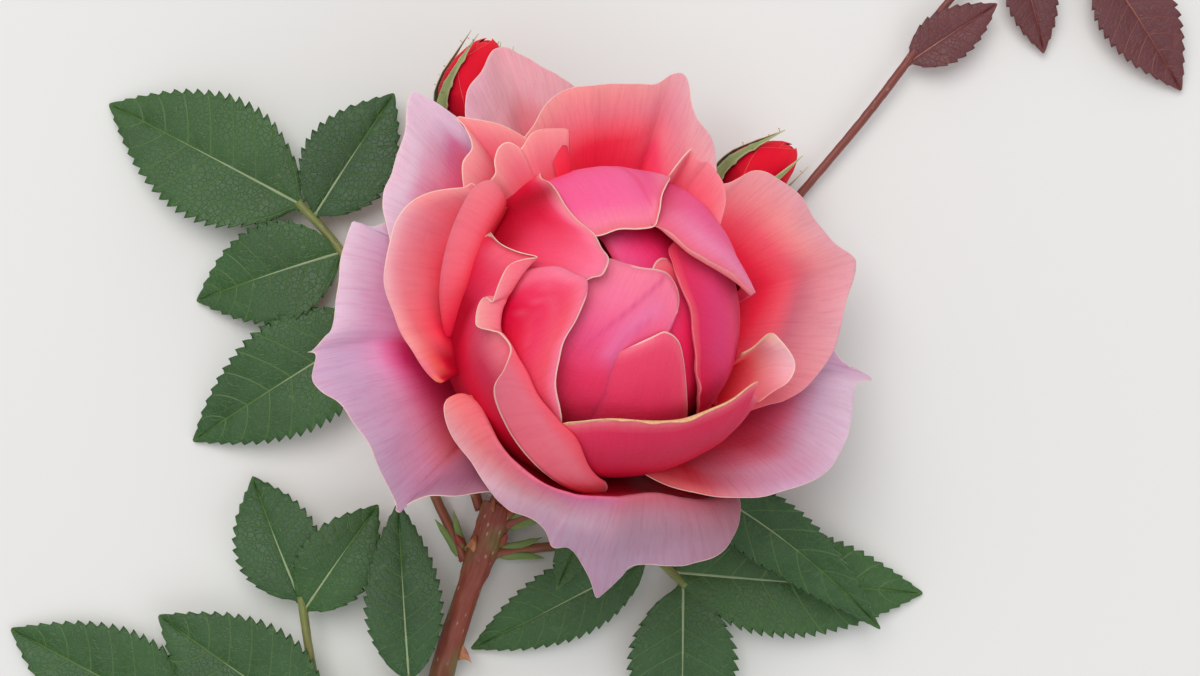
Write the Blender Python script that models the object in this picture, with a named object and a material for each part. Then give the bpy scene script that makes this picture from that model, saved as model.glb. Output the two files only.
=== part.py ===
"""A cut garden rose lying on the floor: a cane with seven compound leaves, one wide open
bloom turned up on its neck, and two red buds on their own stalks beside it."""
import bpy
import bmesh
import numpy as np

# Driving dimensions, in millimetres
BASE_CENTRE = (0.6, -39.6)              # middle of the plan, which becomes the origin
BLOOM_FOOT = (-9.4, -5.5, 26.0)         # where the petals leave the hip
BLOOM_AXIS = (0.300, 0.309, 0.903)      # the bloom leans towards +X and +Y
HEART_HEIGHT = 30.0                     # centre of the closed heart above its foot
PETAL_THICKNESS = 0.94
LEAF_THICKNESS = 0.8
GAP = 0.3                               # kept clear between sub-parts
CANE_END_Y = -168.0                     # flat cut end
CANE_END_RADIUS = 3.2

for thing in list(bpy.data.objects):
    bpy.data.objects.remove(thing)
scene = bpy.context.scene
rose = bpy.data.collections.new("cut_rose_stem")
scene.collection.children.link(rose)
tools = bpy.data.collections.new("tools")
tools.hide_render = True
scene.collection.children.link(tools)


def material(name, colour, rough):
    """A plain Principled material."""
    made = bpy.data.materials.new(name)
    made.use_nodes = True
    shader = made.node_tree.nodes["Principled BSDF"]
    shader.inputs["Base Color"].default_value = (*colour, 1.0)
    shader.inputs["Roughness"].default_value = rough
    return made


def unit(v):
    """Vectors scaled to length one."""
    return v / (np.linalg.norm(v, axis=-1, keepdims=True) + 1e-12)


# The bloom's own frame: h runs up its axis, azimuth 0 lies towards +X
AXIS = unit(np.array(BLOOM_AXIS))
EAST = unit(np.array((1.0, 0.0, 0.0)) - AXIS[0] * AXIS)
NORTH = np.cross(AXIS, EAST)
NORTH = NORTH if NORTH[1] > 0 else -NORTH
FOOT = np.array(BLOOM_FOOT)


def on_bloom(p):
    """Bloom coordinates to the part's frame."""
    return FOOT + p[..., 0:1] * EAST + p[..., 1:2] * NORTH + p[..., 2:3] * AXIS


def object_from(name, points, faces, collection=tools):
    """A mesh object from points in millimetres, triangulated and facing outward."""
    shift = np.array((BASE_CENTRE[0], BASE_CENTRE[1], 0.0))
    mesh = bpy.data.meshes.new(name)
    mesh.from_pydata(((points - shift) * 0.001).tolist(), [], faces)
    work = bmesh.new()
    work.from_mesh(mesh)
    bmesh.ops.triangulate(work, faces=work.faces)
    bmesh.ops.recalc_face_normals(work, faces=work.faces)
    work.to_mesh(mesh)
    work.free()
    made = bpy.data.objects.new(name, mesh)
    collection.objects.link(made)
    return made


def blade(name, grid, thickness):
    """A closed sheet of even thickness round a grid of middle points."""
    rows, cols = grid.shape[:2]
    normal = unit(np.cross(np.gradient(grid, axis=1), np.gradient(grid, axis=0)))
    top = (grid + normal * thickness / 2).reshape(-1, 3)
    low = (grid - normal * thickness / 2).reshape(-1, 3)
    n = rows * cols
    at = np.arange(n).reshape(rows, cols)
    faces = []
    for i in range(rows - 1):
        for j in range(cols - 1):
            a, b, c, d = at[i, j], at[i, j + 1], at[i + 1, j + 1], at[i + 1, j]
            faces.append((a, b, c, d))
            faces.append((d + n, c + n, b + n, a + n))
    ring = list(at[0, :]) + list(at[1:, -1]) + list(at[-1, -2::-1]) + list(at[-2:0:-1, 0])
    for a, b in zip(ring, ring[1:] + ring[:1]):
        faces.append((b, a, a + n, b + n))
    faces = [tuple(int(k) for k in f) for f in faces]
    return object_from(name, np.vstack([top, low]), faces)


def tube(name, path, sides, collection=tools):
    """A closed tube through (x, y, z, radius) points, with flat ends."""
    path = np.array(path, float)
    run = unit(np.gradient(path[:, :3], axis=0))
    side = np.cross(run[0], (0.0, 0.0, 1.0))
    points = []
    for centre, ahead in zip(path, run):
        side = unit(side - side.dot(ahead) * ahead)
        up = np.cross(side, ahead)
        turn = np.arange(sides) * 2 * np.pi / sides
        points.append(centre[:3] + centre[3] * (np.outer(np.cos(turn), side)
                                                + np.outer(np.sin(turn), up)))
    faces = []
    for i in range(len(path) - 1):
        for j in range(sides):
            k = (j + 1) % sides
            faces.append((i * sides + j, i * sides + k, (i + 1) * sides + k,
                          (i + 1) * sides + j))
    last = (len(path) - 1) * sides
    faces.append(tuple(range(sides))[::-1])
    faces.append(tuple(range(last, last + sides)))
    return object_from(name, np.vstack(points), faces, collection)


def turned(name, place, profile, sides, collection=tools):
    """A turned solid from (height, radius) pairs; place maps local points to the frame."""
    turn = np.arange(sides) * 2 * np.pi / sides
    rings = [np.stack([r * np.cos(turn), r * np.sin(turn), 0 * turn + h], -1)
             for h, r in profile]
    faces = []
    for i in range(len(profile) - 1):
        for j in range(sides):
            k = (j + 1) % sides
            faces.append((i * sides + j, i * sides + k, (i + 1) * sides + k,
                          (i + 1) * sides + j))
    last = (len(profile) - 1) * sides
    faces.append(tuple(range(sides))[::-1])
    faces.append(tuple(range(last, last + sides)))
    return object_from(name, place(np.vstack(rings)), faces, collection)


def curve(points, count):
    """A smooth run of count samples through every given point."""
    p = np.array(points, float)
    q = np.vstack([2 * p[0] - p[1], p, 2 * p[-1] - p[-2]])
    t = np.linspace(0, len(p) - 1, count)
    i = np.minimum(t.astype(int), len(p) - 2)
    f = (t - i)[:, None]
    a, b, c, d = q[i], q[i + 1], q[i + 2], q[i + 3]
    return 0.5 * (2 * b + (c - a) * f + (2 * a - 5 * b + 4 * c - d) * f ** 2
                  + (3 * b - a - 3 * c + d) * f ** 3)


def joined(name, parts, made_of, solver="EXACT"):
    """One Boolean union of the parts, kept as one closed solid."""
    first, rest = parts[0], parts[1:]
    others = bpy.data.collections.new(name + "_others")
    tools.children.link(others)
    for part in rest:
        others.objects.link(part)
        tools.objects.unlink(part)
    mod = first.modifiers.new("union", "BOOLEAN")
    mod.operation = "UNION"
    mod.operand_type = "COLLECTION"
    mod.collection = others
    mod.solver = solver
    if solver == "EXACT":
        mod.use_self = True
    depsgraph = bpy.context.evaluated_depsgraph_get()
    mesh = bpy.data.meshes.new_from_object(first.evaluated_get(depsgraph))
    for part in parts:
        bpy.data.objects.remove(part)
    bpy.data.collections.remove(others)
    made = bpy.data.objects.new(name, clean(mesh))
    rose.objects.link(made)
    made.data.name = name
    made.data.materials.clear()
    made.data.materials.append(made_of)
    return made


def clean(mesh):
    """Welds, drops scraps and fills sealed hollows: only the largest shell stays."""
    work = bmesh.new()
    work.from_mesh(mesh)
    bmesh.ops.triangulate(work, faces=work.faces)
    bmesh.ops.remove_doubles(work, verts=work.verts, dist=0.000001)
    bmesh.ops.dissolve_degenerate(work, edges=work.edges, dist=0.000001)
    bmesh.ops.triangulate(work, faces=work.faces)
    left = set(work.faces)
    shells = []
    while left:
        seed = left.pop()
        shell = [seed]
        queue = [seed]
        while queue:
            face = queue.pop()
            for edge in face.edges:
                for other in edge.link_faces:
                    if other in left:
                        left.discard(other)
                        shell.append(other)
                        queue.append(other)
        shells.append(shell)
    shells.sort(key=lambda s: -sum(f.calc_area() for f in s))
    for shell in shells[1:]:
        bmesh.ops.delete(work, geom=shell, context="FACES")
    loose = [v for v in work.verts if not v.link_faces]
    bmesh.ops.delete(work, geom=loose, context="VERTS")
    bmesh.ops.recalc_face_normals(work, faces=work.faces)
    work.to_mesh(mesh)
    work.free()
    return mesh


# ---- Bloom: flared outer petals round a closed heart ----
PINK = material("petal_pink", (0.80, 0.28, 0.36), 0.55)


def heading(azimuth, polar):
    """Unit vectors from the heart's centre."""
    a, p = np.radians(azimuth), np.radians(polar)
    return np.stack([np.sin(p) * np.cos(a), np.sin(p) * np.sin(a), np.cos(p) + 0 * a], -1)


def rolled(sheet, length, turn, rows):
    """Adds rows past the rim that roll outward through the given turn, in degrees."""
    ahead = unit(sheet[-1] - sheet[-2])
    out = unit(np.cross(np.gradient(sheet[-1], axis=0), ahead))
    away = sheet[-1] - np.array((0.0, 0.0, HEART_HEIGHT))
    out = out * np.sign(np.median((out * away).sum(1)))
    point = sheet[-1]
    added = []
    for k in range(rows):
        arc = length * (k + 0.5) / rows
        angle = np.radians(turn) * np.minimum(1.0, arc / 3.6)
        point = point + (length / rows)[:, None] * (ahead * np.cos(angle)[:, None]
                                                    + out * np.sin(angle)[:, None])
        added.append(point)
    return np.concatenate([sheet, np.array(added)], 0)


def wrap(mid, radius, rim, cols, rows=5, lip=None, turn=0.0, foot=115.0):
    """A heart petal: part of a ball round the heart, its rim as (azimuth, polar) pairs.

    radius runs from the rim's first point to its last; foot is the polar angle where
    it sinks into the core."""
    rim = np.array(rim, float)
    rim[:, 0] = np.degrees(np.unwrap(np.radians(rim[:, 0])))
    lip = np.zeros(len(rim)) if lip is None else np.array(lip, float)
    centre = heading(np.array(mid), np.array(85.0))
    up = unit(np.array((0.0, 0.0, 1.0)) - centre[2] * centre)
    frame = np.stack([np.cross(up, centre), up, centre])

    def flat(v):
        local = v @ frame.T
        angle = np.arccos(np.clip(local[..., 2], -1, 1))
        length = np.hypot(local[..., 0], local[..., 1]) + 1e-9
        return np.stack([local[..., 0] / length * angle, local[..., 1] / length * angle], -1)

    edge = curve(np.column_stack([flat(heading(rim[:, 0], rim[:, 1])), lip]), cols)
    base = flat(heading(np.array((mid - 40.0, mid + 40.0)), np.array((foot, foot))))
    base = base if rim[-1, 0] > rim[0, 0] else base[::-1]
    across = np.linspace(0, 1, cols)
    along = np.linspace(0, 1, rows)[:, None]
    start = base[0] + (base[1] - base[0]) * across[:, None]
    sheet = start[None] + (edge[:, :2] - start)[None] * along[..., None]
    angle = np.hypot(sheet[..., 0], sheet[..., 1])[..., None] + 1e-9
    heads = np.concatenate([sheet * np.sin(angle) / angle, np.cos(angle)], -1) @ frame
    size = (radius[0] + (radius[1] - radius[0]) * across)[None] * (
        0.86 + 0.14 * np.minimum(1, along * 1.7))
    sheet = heads * size[..., None]
    sheet[..., 2] += HEART_HEIGHT
    if turn:
        sheet = rolled(sheet, np.maximum(edge[:, 2], 0.05), turn, 4)
    return sheet


def flare(flow, rim, cols, rows=5, crest=None):
    """An open petal from the foot to its rim, given as (azimuth, radius, height) points.

    flow is (start slope, start pull, end slope, end pull); a crest is the line where the
    petal turns over, and then the pulls are not used."""
    edge = curve(rim, cols)
    azimuth, radius, height = edge.T
    slope0, pull0, slope1, pull1 = flow
    first = np.stack([radius * 0 + 9.0, radius * 0 + 6.5], -1)
    last = np.stack([radius, height], -1)
    ray0 = np.array((np.cos(np.radians(slope0)), np.sin(np.radians(slope0))))
    ray1 = np.array((np.cos(np.radians(slope1)), np.sin(np.radians(slope1))))
    w = np.linspace(0, 1, rows)[:, None, None]
    if crest is None:
        reach = np.hypot(radius - 9, height - 6.5)[:, None]
        one, two = first + pull0 * reach * ray0, last - pull1 * reach * ray1
        path = ((1 - w) ** 3 * first + 3 * (1 - w) ** 2 * w * one
                + 3 * (1 - w) * w ** 2 * two + w ** 3 * last)
    else:
        line = curve(crest, 40)
        order = np.argsort(line[:, 0])
        top = np.stack([np.interp(azimuth, line[order, 0], line[order, 1]),
                        np.interp(azimuth, line[order, 0], line[order, 2])], -1)
        over = np.array((np.cos(np.radians(80.0)), np.sin(np.radians(80.0))))

        def run(a, b, ga, gb, s):
            return ((2 * s ** 3 - 3 * s ** 2 + 1) * a + (s ** 3 - 2 * s ** 2 + s) * ga
                    + (3 * s ** 2 - 2 * s ** 3) * b + (s ** 3 - s ** 2) * gb)

        rise = np.linalg.norm(top - first, axis=-1, keepdims=True)
        fall = np.linalg.norm(last - top, axis=-1, keepdims=True)
        path = np.where(w <= 0.6,
                        run(first, top, 1.1 * rise * ray0, 1.1 * rise * over,
                            np.clip(w / 0.6, 0, 1)),
                        run(top, last, 0.9 * fall * over, 0.9 * fall * ray1,
                            np.clip((w - 0.6) / 0.4, 0, 1)))
    middle = 0.5 * (azimuth.min() + azimuth.max())
    spread = 0.35 + 0.65 * np.minimum(1, np.linspace(0, 1, rows)[:, None] * 1.5) ** 0.8
    turn = np.radians(middle + (azimuth - middle)[None] * spread)
    return np.stack([path[..., 0] * np.cos(turn), path[..., 0] * np.sin(turn),
                     path[..., 1]], -1)


petals = [
    # outer whorl, round from the left
    flare((55, 0.45, -25, 0.30),
          [(150, 42, 22), (154, 46, 24), (162, 49, 22), (170, 50, 20), (180, 49, 18),
           (190, 53, 14), (197, 52, 16), (207, 50, 18), (216, 48, 18), (226, 49, 12),
           (231, 45, 16), (241, 38, 18), (250, 34, 20)], 14),
    flare((60, 0.6, -40, 0.35),
          [(-148, 34, 28), (-141, 38, 27), (-128, 37, 24), (-118, 39, 20), (-107, 39, 18),
           (-94, 41, 15), (-89, 41, 14), (-81, 47, 7), (-77, 44, 10), (-69, 44, 12),
           (-59, 47, 12), (-51, 48, 11), (-46, 45, 11), (-42, 42, 14)], 14, rows=9,
          crest=[(-150, 34, 30), (-145, 33, 30), (-135, 33, 30), (-124, 33, 30),
                 (-112, 34, 30), (-102, 35, 29), (-88, 36, 28), (-75, 36, 27),
                 (-61, 38, 25), (-50, 41, 22), (-42, 41, 20)]),
    flare((50, 0.45, -20, 0.3),
          [(-70, 30, 24), (-63, 33, 22), (-47, 40, 20), (-37, 45, 18), (-27, 51, 16),
           (-19, 55, 16), (-9, 58, 16), (-1, 59, 14), (2, 64, 10), (6, 54, 12),
           (12, 48, 12)], 12),
    flare((60, 0.5, 0, 0.35),
          [(60, 36, 34), (51, 41, 32), (48, 48, 32), (42, 53, 30), (36, 57, 27),
           (28, 58, 24), (24, 64, 20), (15, 56, 22), (4, 52, 22), (-6, 46, 24),
           (-21, 36, 28), (-30, 32, 28)], 13),
    flare((62, 0.5, 5, 0.35),
          [(120, 36, 36), (115, 38, 36), (101, 46, 34), (91, 48, 34), (77, 53, 32),
           (73, 59, 30), (67, 50, 32), (61, 48, 32), (55, 42, 32)], 11),
    flare((55, 0.5, 0, 0.35),
          [(128, 44, 32), (122, 51, 32), (115, 55, 30), (108, 61, 26), (102, 57, 28),
           (91, 50, 30), (84, 44, 32)], 9),
    flare((55, 0.5, -10, 0.35),
          [(118, 44, 32), (123, 49, 30), (127, 58, 24), (136, 52, 26), (145, 48, 26),
           (151, 47, 26), (161, 43, 28), (168, 40, 28)], 10),
    # second whorl, standing round the heart
    flare((68, 0.6, -10, 0.45),
          [(146, 36, 44), (152, 35, 44), (157, 40, 40), (164, 42, 38), (171, 42, 36),
           (181, 42, 36), (194, 40, 34), (204, 37, 32), (208, 35, 30), (207, 31, 30)], 11),
    flare((72, 0.6, 10, 0.3),
          [(140, 27, 46), (144, 29, 46), (152, 30, 46), (165, 31, 45), (180, 32, 42),
           (195, 31, 38), (205, 28, 33)], 8),
    flare((72, 0.6, 20, 0.3),
          [(104, 30, 46), (109, 32, 46), (119, 34, 46), (125, 33, 46), (133, 34, 45),
           (140, 31, 45), (144, 28, 45)], 8),
    flare((68, 0.55, 5, 0.3),
          [(122, 34, 42), (128, 40, 41), (133, 44, 40), (138, 38, 42), (150, 35, 42)], 7),
    flare((78, 0.6, 40, 0.3),
          [(80, 24, 46), (70, 26, 48), (66, 32, 46), (57, 32, 46), (48, 30, 46),
           (41, 27, 46), (34, 23, 46)], 8),
    flare((65, 0.6, 10, 0.35),
          [(-2, 24, 42), (-18, 25, 42), (-15, 27, 41), (-5, 31, 40), (-9, 36, 38),
           (-14, 38, 37), (-22, 36, 37), (-26, 35, 38), (-33, 33, 38), (-40, 30, 38)], 10),
    # the heart's wrapped petals
    wrap(-70, (30, 30.5),
         [(-125, 95), (-118, 80), (-109, 71), (-100, 62), (-78, 61), (-61, 64), (-45, 70),
          (-30, 76), (-22, 80), (-20, 95)], 11, foot=150.0, rows=6),
    wrap(-150, (30.5, 31.5),
         [(158, 90), (163, 66), (168, 56), (182, 38), (186, 49), (198, 53), (211, 58),
          (217, 59), (233, 60), (254, 72), (270, 94), (277, 108)], 14,
         lip=[0, 0, 0, 0, 2, 7, 8, 1, 10, 12, 9, 2], turn=165, foot=150.0, rows=6),
    wrap(-150, (28.5, 28),
         [(165, 62), (-175, 50), (-167, 46), (-168, 38), (-164, 27), (-153, 23),
          (-142, 29), (-132, 41), (-125, 53), (-117, 61), (-108, 76), (-105, 90)], 12),
    wrap(160, (29, 29),
         [(118, 75), (126, 62), (129, 48), (141, 33), (155, 21), (183, 13), (207, 20),
          (208, 32), (205, 50), (205, 70)], 10),
    wrap(105, (27.7, 29.2),
         [(170, 60), (165, 35), (159, 21), (137, 15), (98, 12), (71, 16), (73, 26),
          (70, 40), (66, 60)], 10),
    wrap(40, (28, 29),
         [(100, 40), (100, 14), (70, 9), (32, 10), (0, 25), (1, 40), (4, 64), (6, 80)], 9),
    wrap(-110, (26.2, 26.2),
         [(-150, 75), (-150, 50), (-165, 20), (-179, 11), (-151, 5), (-45, 5), (-19, 14),
          (-35, 19), (-51, 25), (-60, 32), (-58, 50), (-55, 75), (-55, 90)], 12),
    wrap(-90, (27.3, 27.3),
         [(-130, 90), (-118, 60), (-95, 36), (-83, 32), (-63, 30), (-59, 34), (-57, 47),
          (-53, 75), (-53, 90)], 9),
    wrap(-5, (25.5, 27),
         [(60, 60), (45, 30), (28, 16), (-23, 21), (-38, 37), (-40, 60), (-39, 89),
          (-39, 100)], 8),
]
solids = [blade("petal_%02d" % i, on_bloom(grid), PETAL_THICKNESS)
          for i, grid in enumerate(petals)]
centre = turned("heart_core", on_bloom,
                [(0.2, 5.5), (3.0, 8.0), (7.5, 13.0), (14.0, 20.0), (22.0, 24.5),
                 (31.0, 25.4), (40.0, 22.0), (46.5, 15.0), (50.0, 6.0)], 14)
joined("bloom", [centre] + solids, PINK, "MANIFOLD")


# ---- Neck and calyx under the bloom ----
GREEN = material("stem_green", (0.20, 0.23, 0.08), 0.5)
CANE = material("cane_brown", (0.26, 0.12, 0.07), 0.5)


def sepals(name, place, count, first, line, half_width):
    """Narrow leafy blades round a hip; line gives (radius, height) from root to tip."""
    made = []
    for k in range(count):
        turn = np.radians(first + 360.0 / count * k)
        path = curve(line, 5)
        out = np.array((np.cos(turn), np.sin(turn), 0.0))
        side = np.array((-np.sin(turn), np.cos(turn), 0.0))
        middle = path[:, 0:1] * out + path[:, 1:2] * np.array((0.0, 0.0, 1.0))
        width = half_width * np.array((0.8, 1.0, 0.85, 0.55, 0.2))
        grid = np.stack([middle - width[:, None] * side, middle,
                         middle + width[:, None] * side], 1)
        made.append(blade("%s_%d" % (name, k), place(grid), LEAF_THICKNESS))
    return made


hip = turned("hip", on_bloom,
             [(-15.0, 2.1), (-14.0, 2.8), (-11.0, 4.6), (-7.0, 5.6), (-3.0, 5.2),
              (-0.2, 6.0)], 14)
joined("calyx", [hip] + sepals("sepal", on_bloom, 5, 20.0,
                               [(4.0, -1.4), (8.0, -1.6), (13.0, -3.0), (16.5, -7.0),
                                (18.0, -12.0), (18.5, -16.0)], 3.0), GREEN)
hip_end = FOOT - 15.3 * AXIS
neck_foot = np.array((-21.3, -31.5, 4.7))
tube("neck", [(*(neck_foot + np.array((0.3, 0.9, 0.0))), 2.3), (-19.5, -26.0, 4.7, 2.1),
              (-17.9, -20.5, 5.4, 2.0), (-16.5, -16.0, 7.0, 1.9),
              (*(hip_end - 2.5 * AXIS), 1.9), (*hip_end, 1.9)], 10, rose
     ).data.materials.append(GREEN)

# ---- Cane: from the flat cut end to the node under the neck ----
cane_path = [(-44.0, CANE_END_Y, CANE_END_RADIUS, CANE_END_RADIUS),
             (-44.0, -152.0, 3.2, 3.2), (-43.8, -138.0, 3.2, 3.2),
             (-43.0, -124.0, 3.3, 3.05), (-41.3, -106.0, 3.6, 2.9),
             (-37.8, -86.0, 4.1, 2.75), (-33.0, -66.0, 4.6, 2.65),
             (-27.5, -48.5, 4.8, 2.6), (-23.0, -36.5, 4.7, 2.7),
             (*(neck_foot + np.array((0.15, 0.5, 0.0))), 2.6)]
tube("cane", cane_path, 12, rose).data.materials.append(CANE)


# ---- Buds on thin stalks beside the bloom ----
RED = material("bud_red", (0.62, 0.01, 0.04), 0.45)


def bud(name, path, root, tip, radius):
    """A stalk with a hip and sepals, and the closed bud standing 0.3 mm clear in it."""
    root, tip = np.array(root, float), np.array(tip, float)
    length = np.linalg.norm(tip - root)
    ahead = unit(tip - root)
    side = unit(np.cross(ahead, (0.0, 0.0, 1.0)))
    up = np.cross(side, ahead)

    def place(p):
        return root + p[..., 0:1] * side + p[..., 1:2] * up + p[..., 2:3] * ahead

    shape = [(0.0, 0.45), (0.06, 0.62), (0.16, 0.84), (0.32, 1.0), (0.50, 0.94),
             (0.68, 0.70), (0.84, 0.40), (0.95, 0.16), (1.0, 0.05)]
    flower = turned(name, place, [(t * length, r * radius) for t, r in shape], 12, rose)
    flower.data.materials.append(RED)
    for back in (14.0, 5.0):
        path = path + [(*(root - back * ahead), 1.3)]
    stalk = tube(name + "_stalk", path, 7)
    cup = turned(name + "_hip", place,
                 [(-9.0, 1.2), (-7.5, 2.2), (-4.5, 3.4), (-2.0, 3.0),
                  (-GAP, 0.5 * radius)], 10)
    line = [(0.42 * radius, -1.2), (0.80 * radius, 0.5),
            (radius + 1.4, 0.22 * length), (radius + 1.6, 0.45 * length),
            (0.72 * radius + 2.0, 0.75 * length), (0.45 * radius + 2.2, 1.0 * length)]
    joined(name + "_shoot", [stalk, cup] + sepals(name + "_sepal", place, 5, 36.0, line, 1.9),
           GREEN)


bud("left_bud", [(-25.2, -31.4, 3.4, 1.1), (-29.5, -19.0, 2.4, 1.1), (-33.4, -2.0, 2.0, 1.1),
                 (-35.4, 15.0, 3.2, 1.1), (-35.2, 27.0, 6.2, 1.2)],
    (-29.6, 48.0, 12.0), (-22.6, 66.0, 16.0), 7.0)
bud("right_bud", [(-18.2, -32.6, 2.6, 1.1), (-8.0, -24.0, 1.8, 1.1), (1.0, -10.0, 1.6, 1.1),
                  (5.0, 4.0, 2.6, 1.1), (8.4, 15.0, 5.6, 1.2)],
    (25.5, 33.5, 10.6), (41.0, 43.5, 13.0), 6.4)

# ---- Leaves ----
LEAF = material("leaf_green", (0.07, 0.16, 0.08), 0.5)
YOUNG = material("leaf_red", (0.16, 0.05, 0.05), 0.45)


def leaflet(name, root, tip, half_width, arch=2.0, fold=0.12, tilt=0.0, sweep=0.0):
    """One oval leaf blade, folded a little along its midrib.

    arch lifts its middle, tilt rolls it about its length in degrees, sweep bows it
    sideways; all lengths in millimetres."""
    root, tip = np.array(root, float), np.array(tip, float)
    ahead = unit(tip - root)
    side = unit(np.cross((0.0, 0.0, 1.0), ahead))
    up = np.cross(ahead, side)
    angle = np.radians(tilt)
    side, up = (np.cos(angle) * side + np.sin(angle) * up,
                np.cos(angle) * up - np.sin(angle) * side)
    t = np.array((0.0, 0.12, 0.30, 0.50, 0.70, 0.87, 1.0))
    width = half_width * np.array((0.10, 0.57, 0.95, 0.98, 0.74, 0.37, 0.05))
    middle = root + (tip - root) * t[:, None] + 4 * (t * (1 - t))[:, None] * (
        arch * up + sweep * side)
    edges = [middle + s * width[:, None] * side + abs(s) * fold * width[:, None] * up
             for s in (-1.0, 0.0, 1.0)]
    return blade(name, np.stack(edges, 1), LEAF_THICKNESS)


def compound(name, stalk, leaflets, made_of):
    """A leaf stalk with its leaflets fused on."""
    parts = [tube(name + "_rachis", stalk, 7)]
    for k, given in enumerate(leaflets):
        parts.append(leaflet("%s_%d" % (name, k), *given[:3], **given[3]))
    joined(name, parts, made_of)


compound("left_leaf",
         [(-28.9, -41.2, 4.4, 1.1), (-36.0, -26.0, 4.0, 1.0), (-41.5, -8.0, 4.2, 1.0),
          (-46.5, 8.0, 5.2, 0.9), (-54.0, 21.5, 6.0, 0.9), (-64.0, 33.0, 6.2, 0.9)],
         [((-63.0, 32.2, 6.2), (-105.5, 55.0, 1.2), 14.5, {}),
          ((-60.5, 30.0, 6.2), (-44.0, 56.5, 5.0), 10.5, {"arch": 1.0}),
          ((-54.6, 22.3, 6.0), (-86.0, 12.5, 1.4), 11.5, {"arch": 2.5}),
          ((-46.0, 7.6, 5.2), (-86.3, -17.4, 1.2), 13.0, {"arch": 3.0}),
          ((-46.0, 7.0, 5.2), (-23.0, 25.0, 11.0), 8.0, {"arch": 2.0})], LEAF)
compound("lower_left_leaf",
         [(-45.95, -110.0, 4.0, 1.2), (-51.0, -97.0, 5.2, 1.1), (-55.5, -82.0, 6.4, 1.0),
          (-59.5, -66.0, 7.0, 0.9), (-62.2, -50.0, 7.2, 0.9)],
         [((-62.2, -51.0, 7.2), (-73.5, -25.0, 2.0), 9.5, {}),
          ((-61.6, -53.0, 7.1), (-46.5, -31.0, 6.0), 8.5, {}),
          ((-56.5, -78.0, 6.5), (-92.0, -54.0, 5.5), 13.0, {"arch": 2.0}),
          ((-51.5, -95.0, 5.2), (-80.0, -101.0, 6.6), 10.5, {"arch": 2.5}),
          ((-55.0, -84.0, 6.2), (-45.6, -68.5, 9.5), 5.0, {"arch": 0.5})], LEAF)
compound("far_left_leaf",
         [(-48.2, -137.2, 3.2, 1.2), (-57.0, -125.0, 2.2, 1.1), (-68.0, -110.0, 1.6, 1.0),
          (-76.5, -94.0, 1.6, 0.9), (-83.5, -77.0, 2.0, 0.9)],
         [((-83.0, -78.0, 1.9), (-124.0, -57.0, 0.9), 12.5, {"arch": 1.0}),
          ((-79.5, -87.0, 1.7), (-117.0, -97.0, 0.9), 11.0, {"arch": 1.5}),
          ((-69.5, -107.6, 1.6), (-105.0, -120.0, 0.9), 11.0, {"arch": 1.5}),
          ((-66.5, -112.0, 1.6), (-78.0, -146.0, 0.9), 10.0, {"arch": 1.5})], LEAF)
compound("upper_leaf",
         [(-42.0, -91.0, 6.6, 1.1), (-42.5, -83.0, 9.0, 1.0), (-41.0, -74.0, 10.6, 0.9),
          (-39.0, -66.0, 10.8, 0.9)],
         [((-39.2, -67.5, 10.8), (-42.0, -30.5, 9.0), 8.5, {"arch": 1.5}),
          ((-41.5, -76.5, 10.2), (-25.0, -68.0, 11.5), 5.5, {"arch": 0.5})], LEAF)
compound("right_leaf",
         [(-20.8, -40.9, 4.6, 1.1), (-8.0, -39.5, 3.6, 1.0), (4.0, -40.0, 3.8, 1.0),
          (12.0, -42.5, 4.4, 0.9), (18.0, -48.0, 4.8, 0.9)],
         [((17.4, -47.2, 4.8), (17.0, -88.0, 1.0), 12.0, {}),
          ((10.0, -42.0, 4.2), (-27.0, -61.0, 2.2), 8.5, {"arch": 2.0, "tilt": -8.0}),
          ((15.0, -45.0, 4.6), (68.0, -49.5, 1.0), 12.0, {"arch": 2.5})], LEAF)
compound("curled_leaf",
         [(-18.9, -34.9, 6.1, 1.1), (-9.0, -31.0, 9.0, 1.0), (2.0, -26.5, 11.0, 1.0),
          (13.0, -22.0, 12.0, 0.9)],
         [((12.0, -22.4, 12.0), (58.0, -56.5, 8.6), 8.0,
           {"arch": 3.0, "tilt": 22.0, "sweep": 4.0}),
          ((5.0, -25.4, 11.4), (38.0, -7.0, 6.0), 8.0, {"arch": 2.0}),
          ((0.0, -27.2, 10.8), (-9.0, -48.5, 9.5), 5.0, {"arch": 1.0})], LEAF)
compound("young_leaf",
         [(7.2, 5.0, 2.6, 0.9), (16.0, 8.6, 2.0, 0.9), (28.0, 18.0, 2.4, 0.9), (43.3, 35.9, 3.0, 0.9),
          (56.0, 51.0, 3.4, 0.9), (66.0, 64.0, 4.0, 0.9), (76.0, 78.0, 4.2, 0.8),
          (91.0, 88.0, 4.2, 0.8), (108.0, 86.0, 4.0, 0.8)],
         [((66.0, 63.4, 3.9), (85.0, 76.0, 5.0), 6.0, {"arch": 1.0}),
          ((90.0, 87.4, 4.2), (95.5, 66.0, 2.0), 6.0, {"arch": 1.0}),
          ((107.0, 86.0, 4.0), (125.0, 58.0, 1.2), 9.0, {"arch": 2.0})], YOUNG)

bpy.data.collections.remove(tools)
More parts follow.
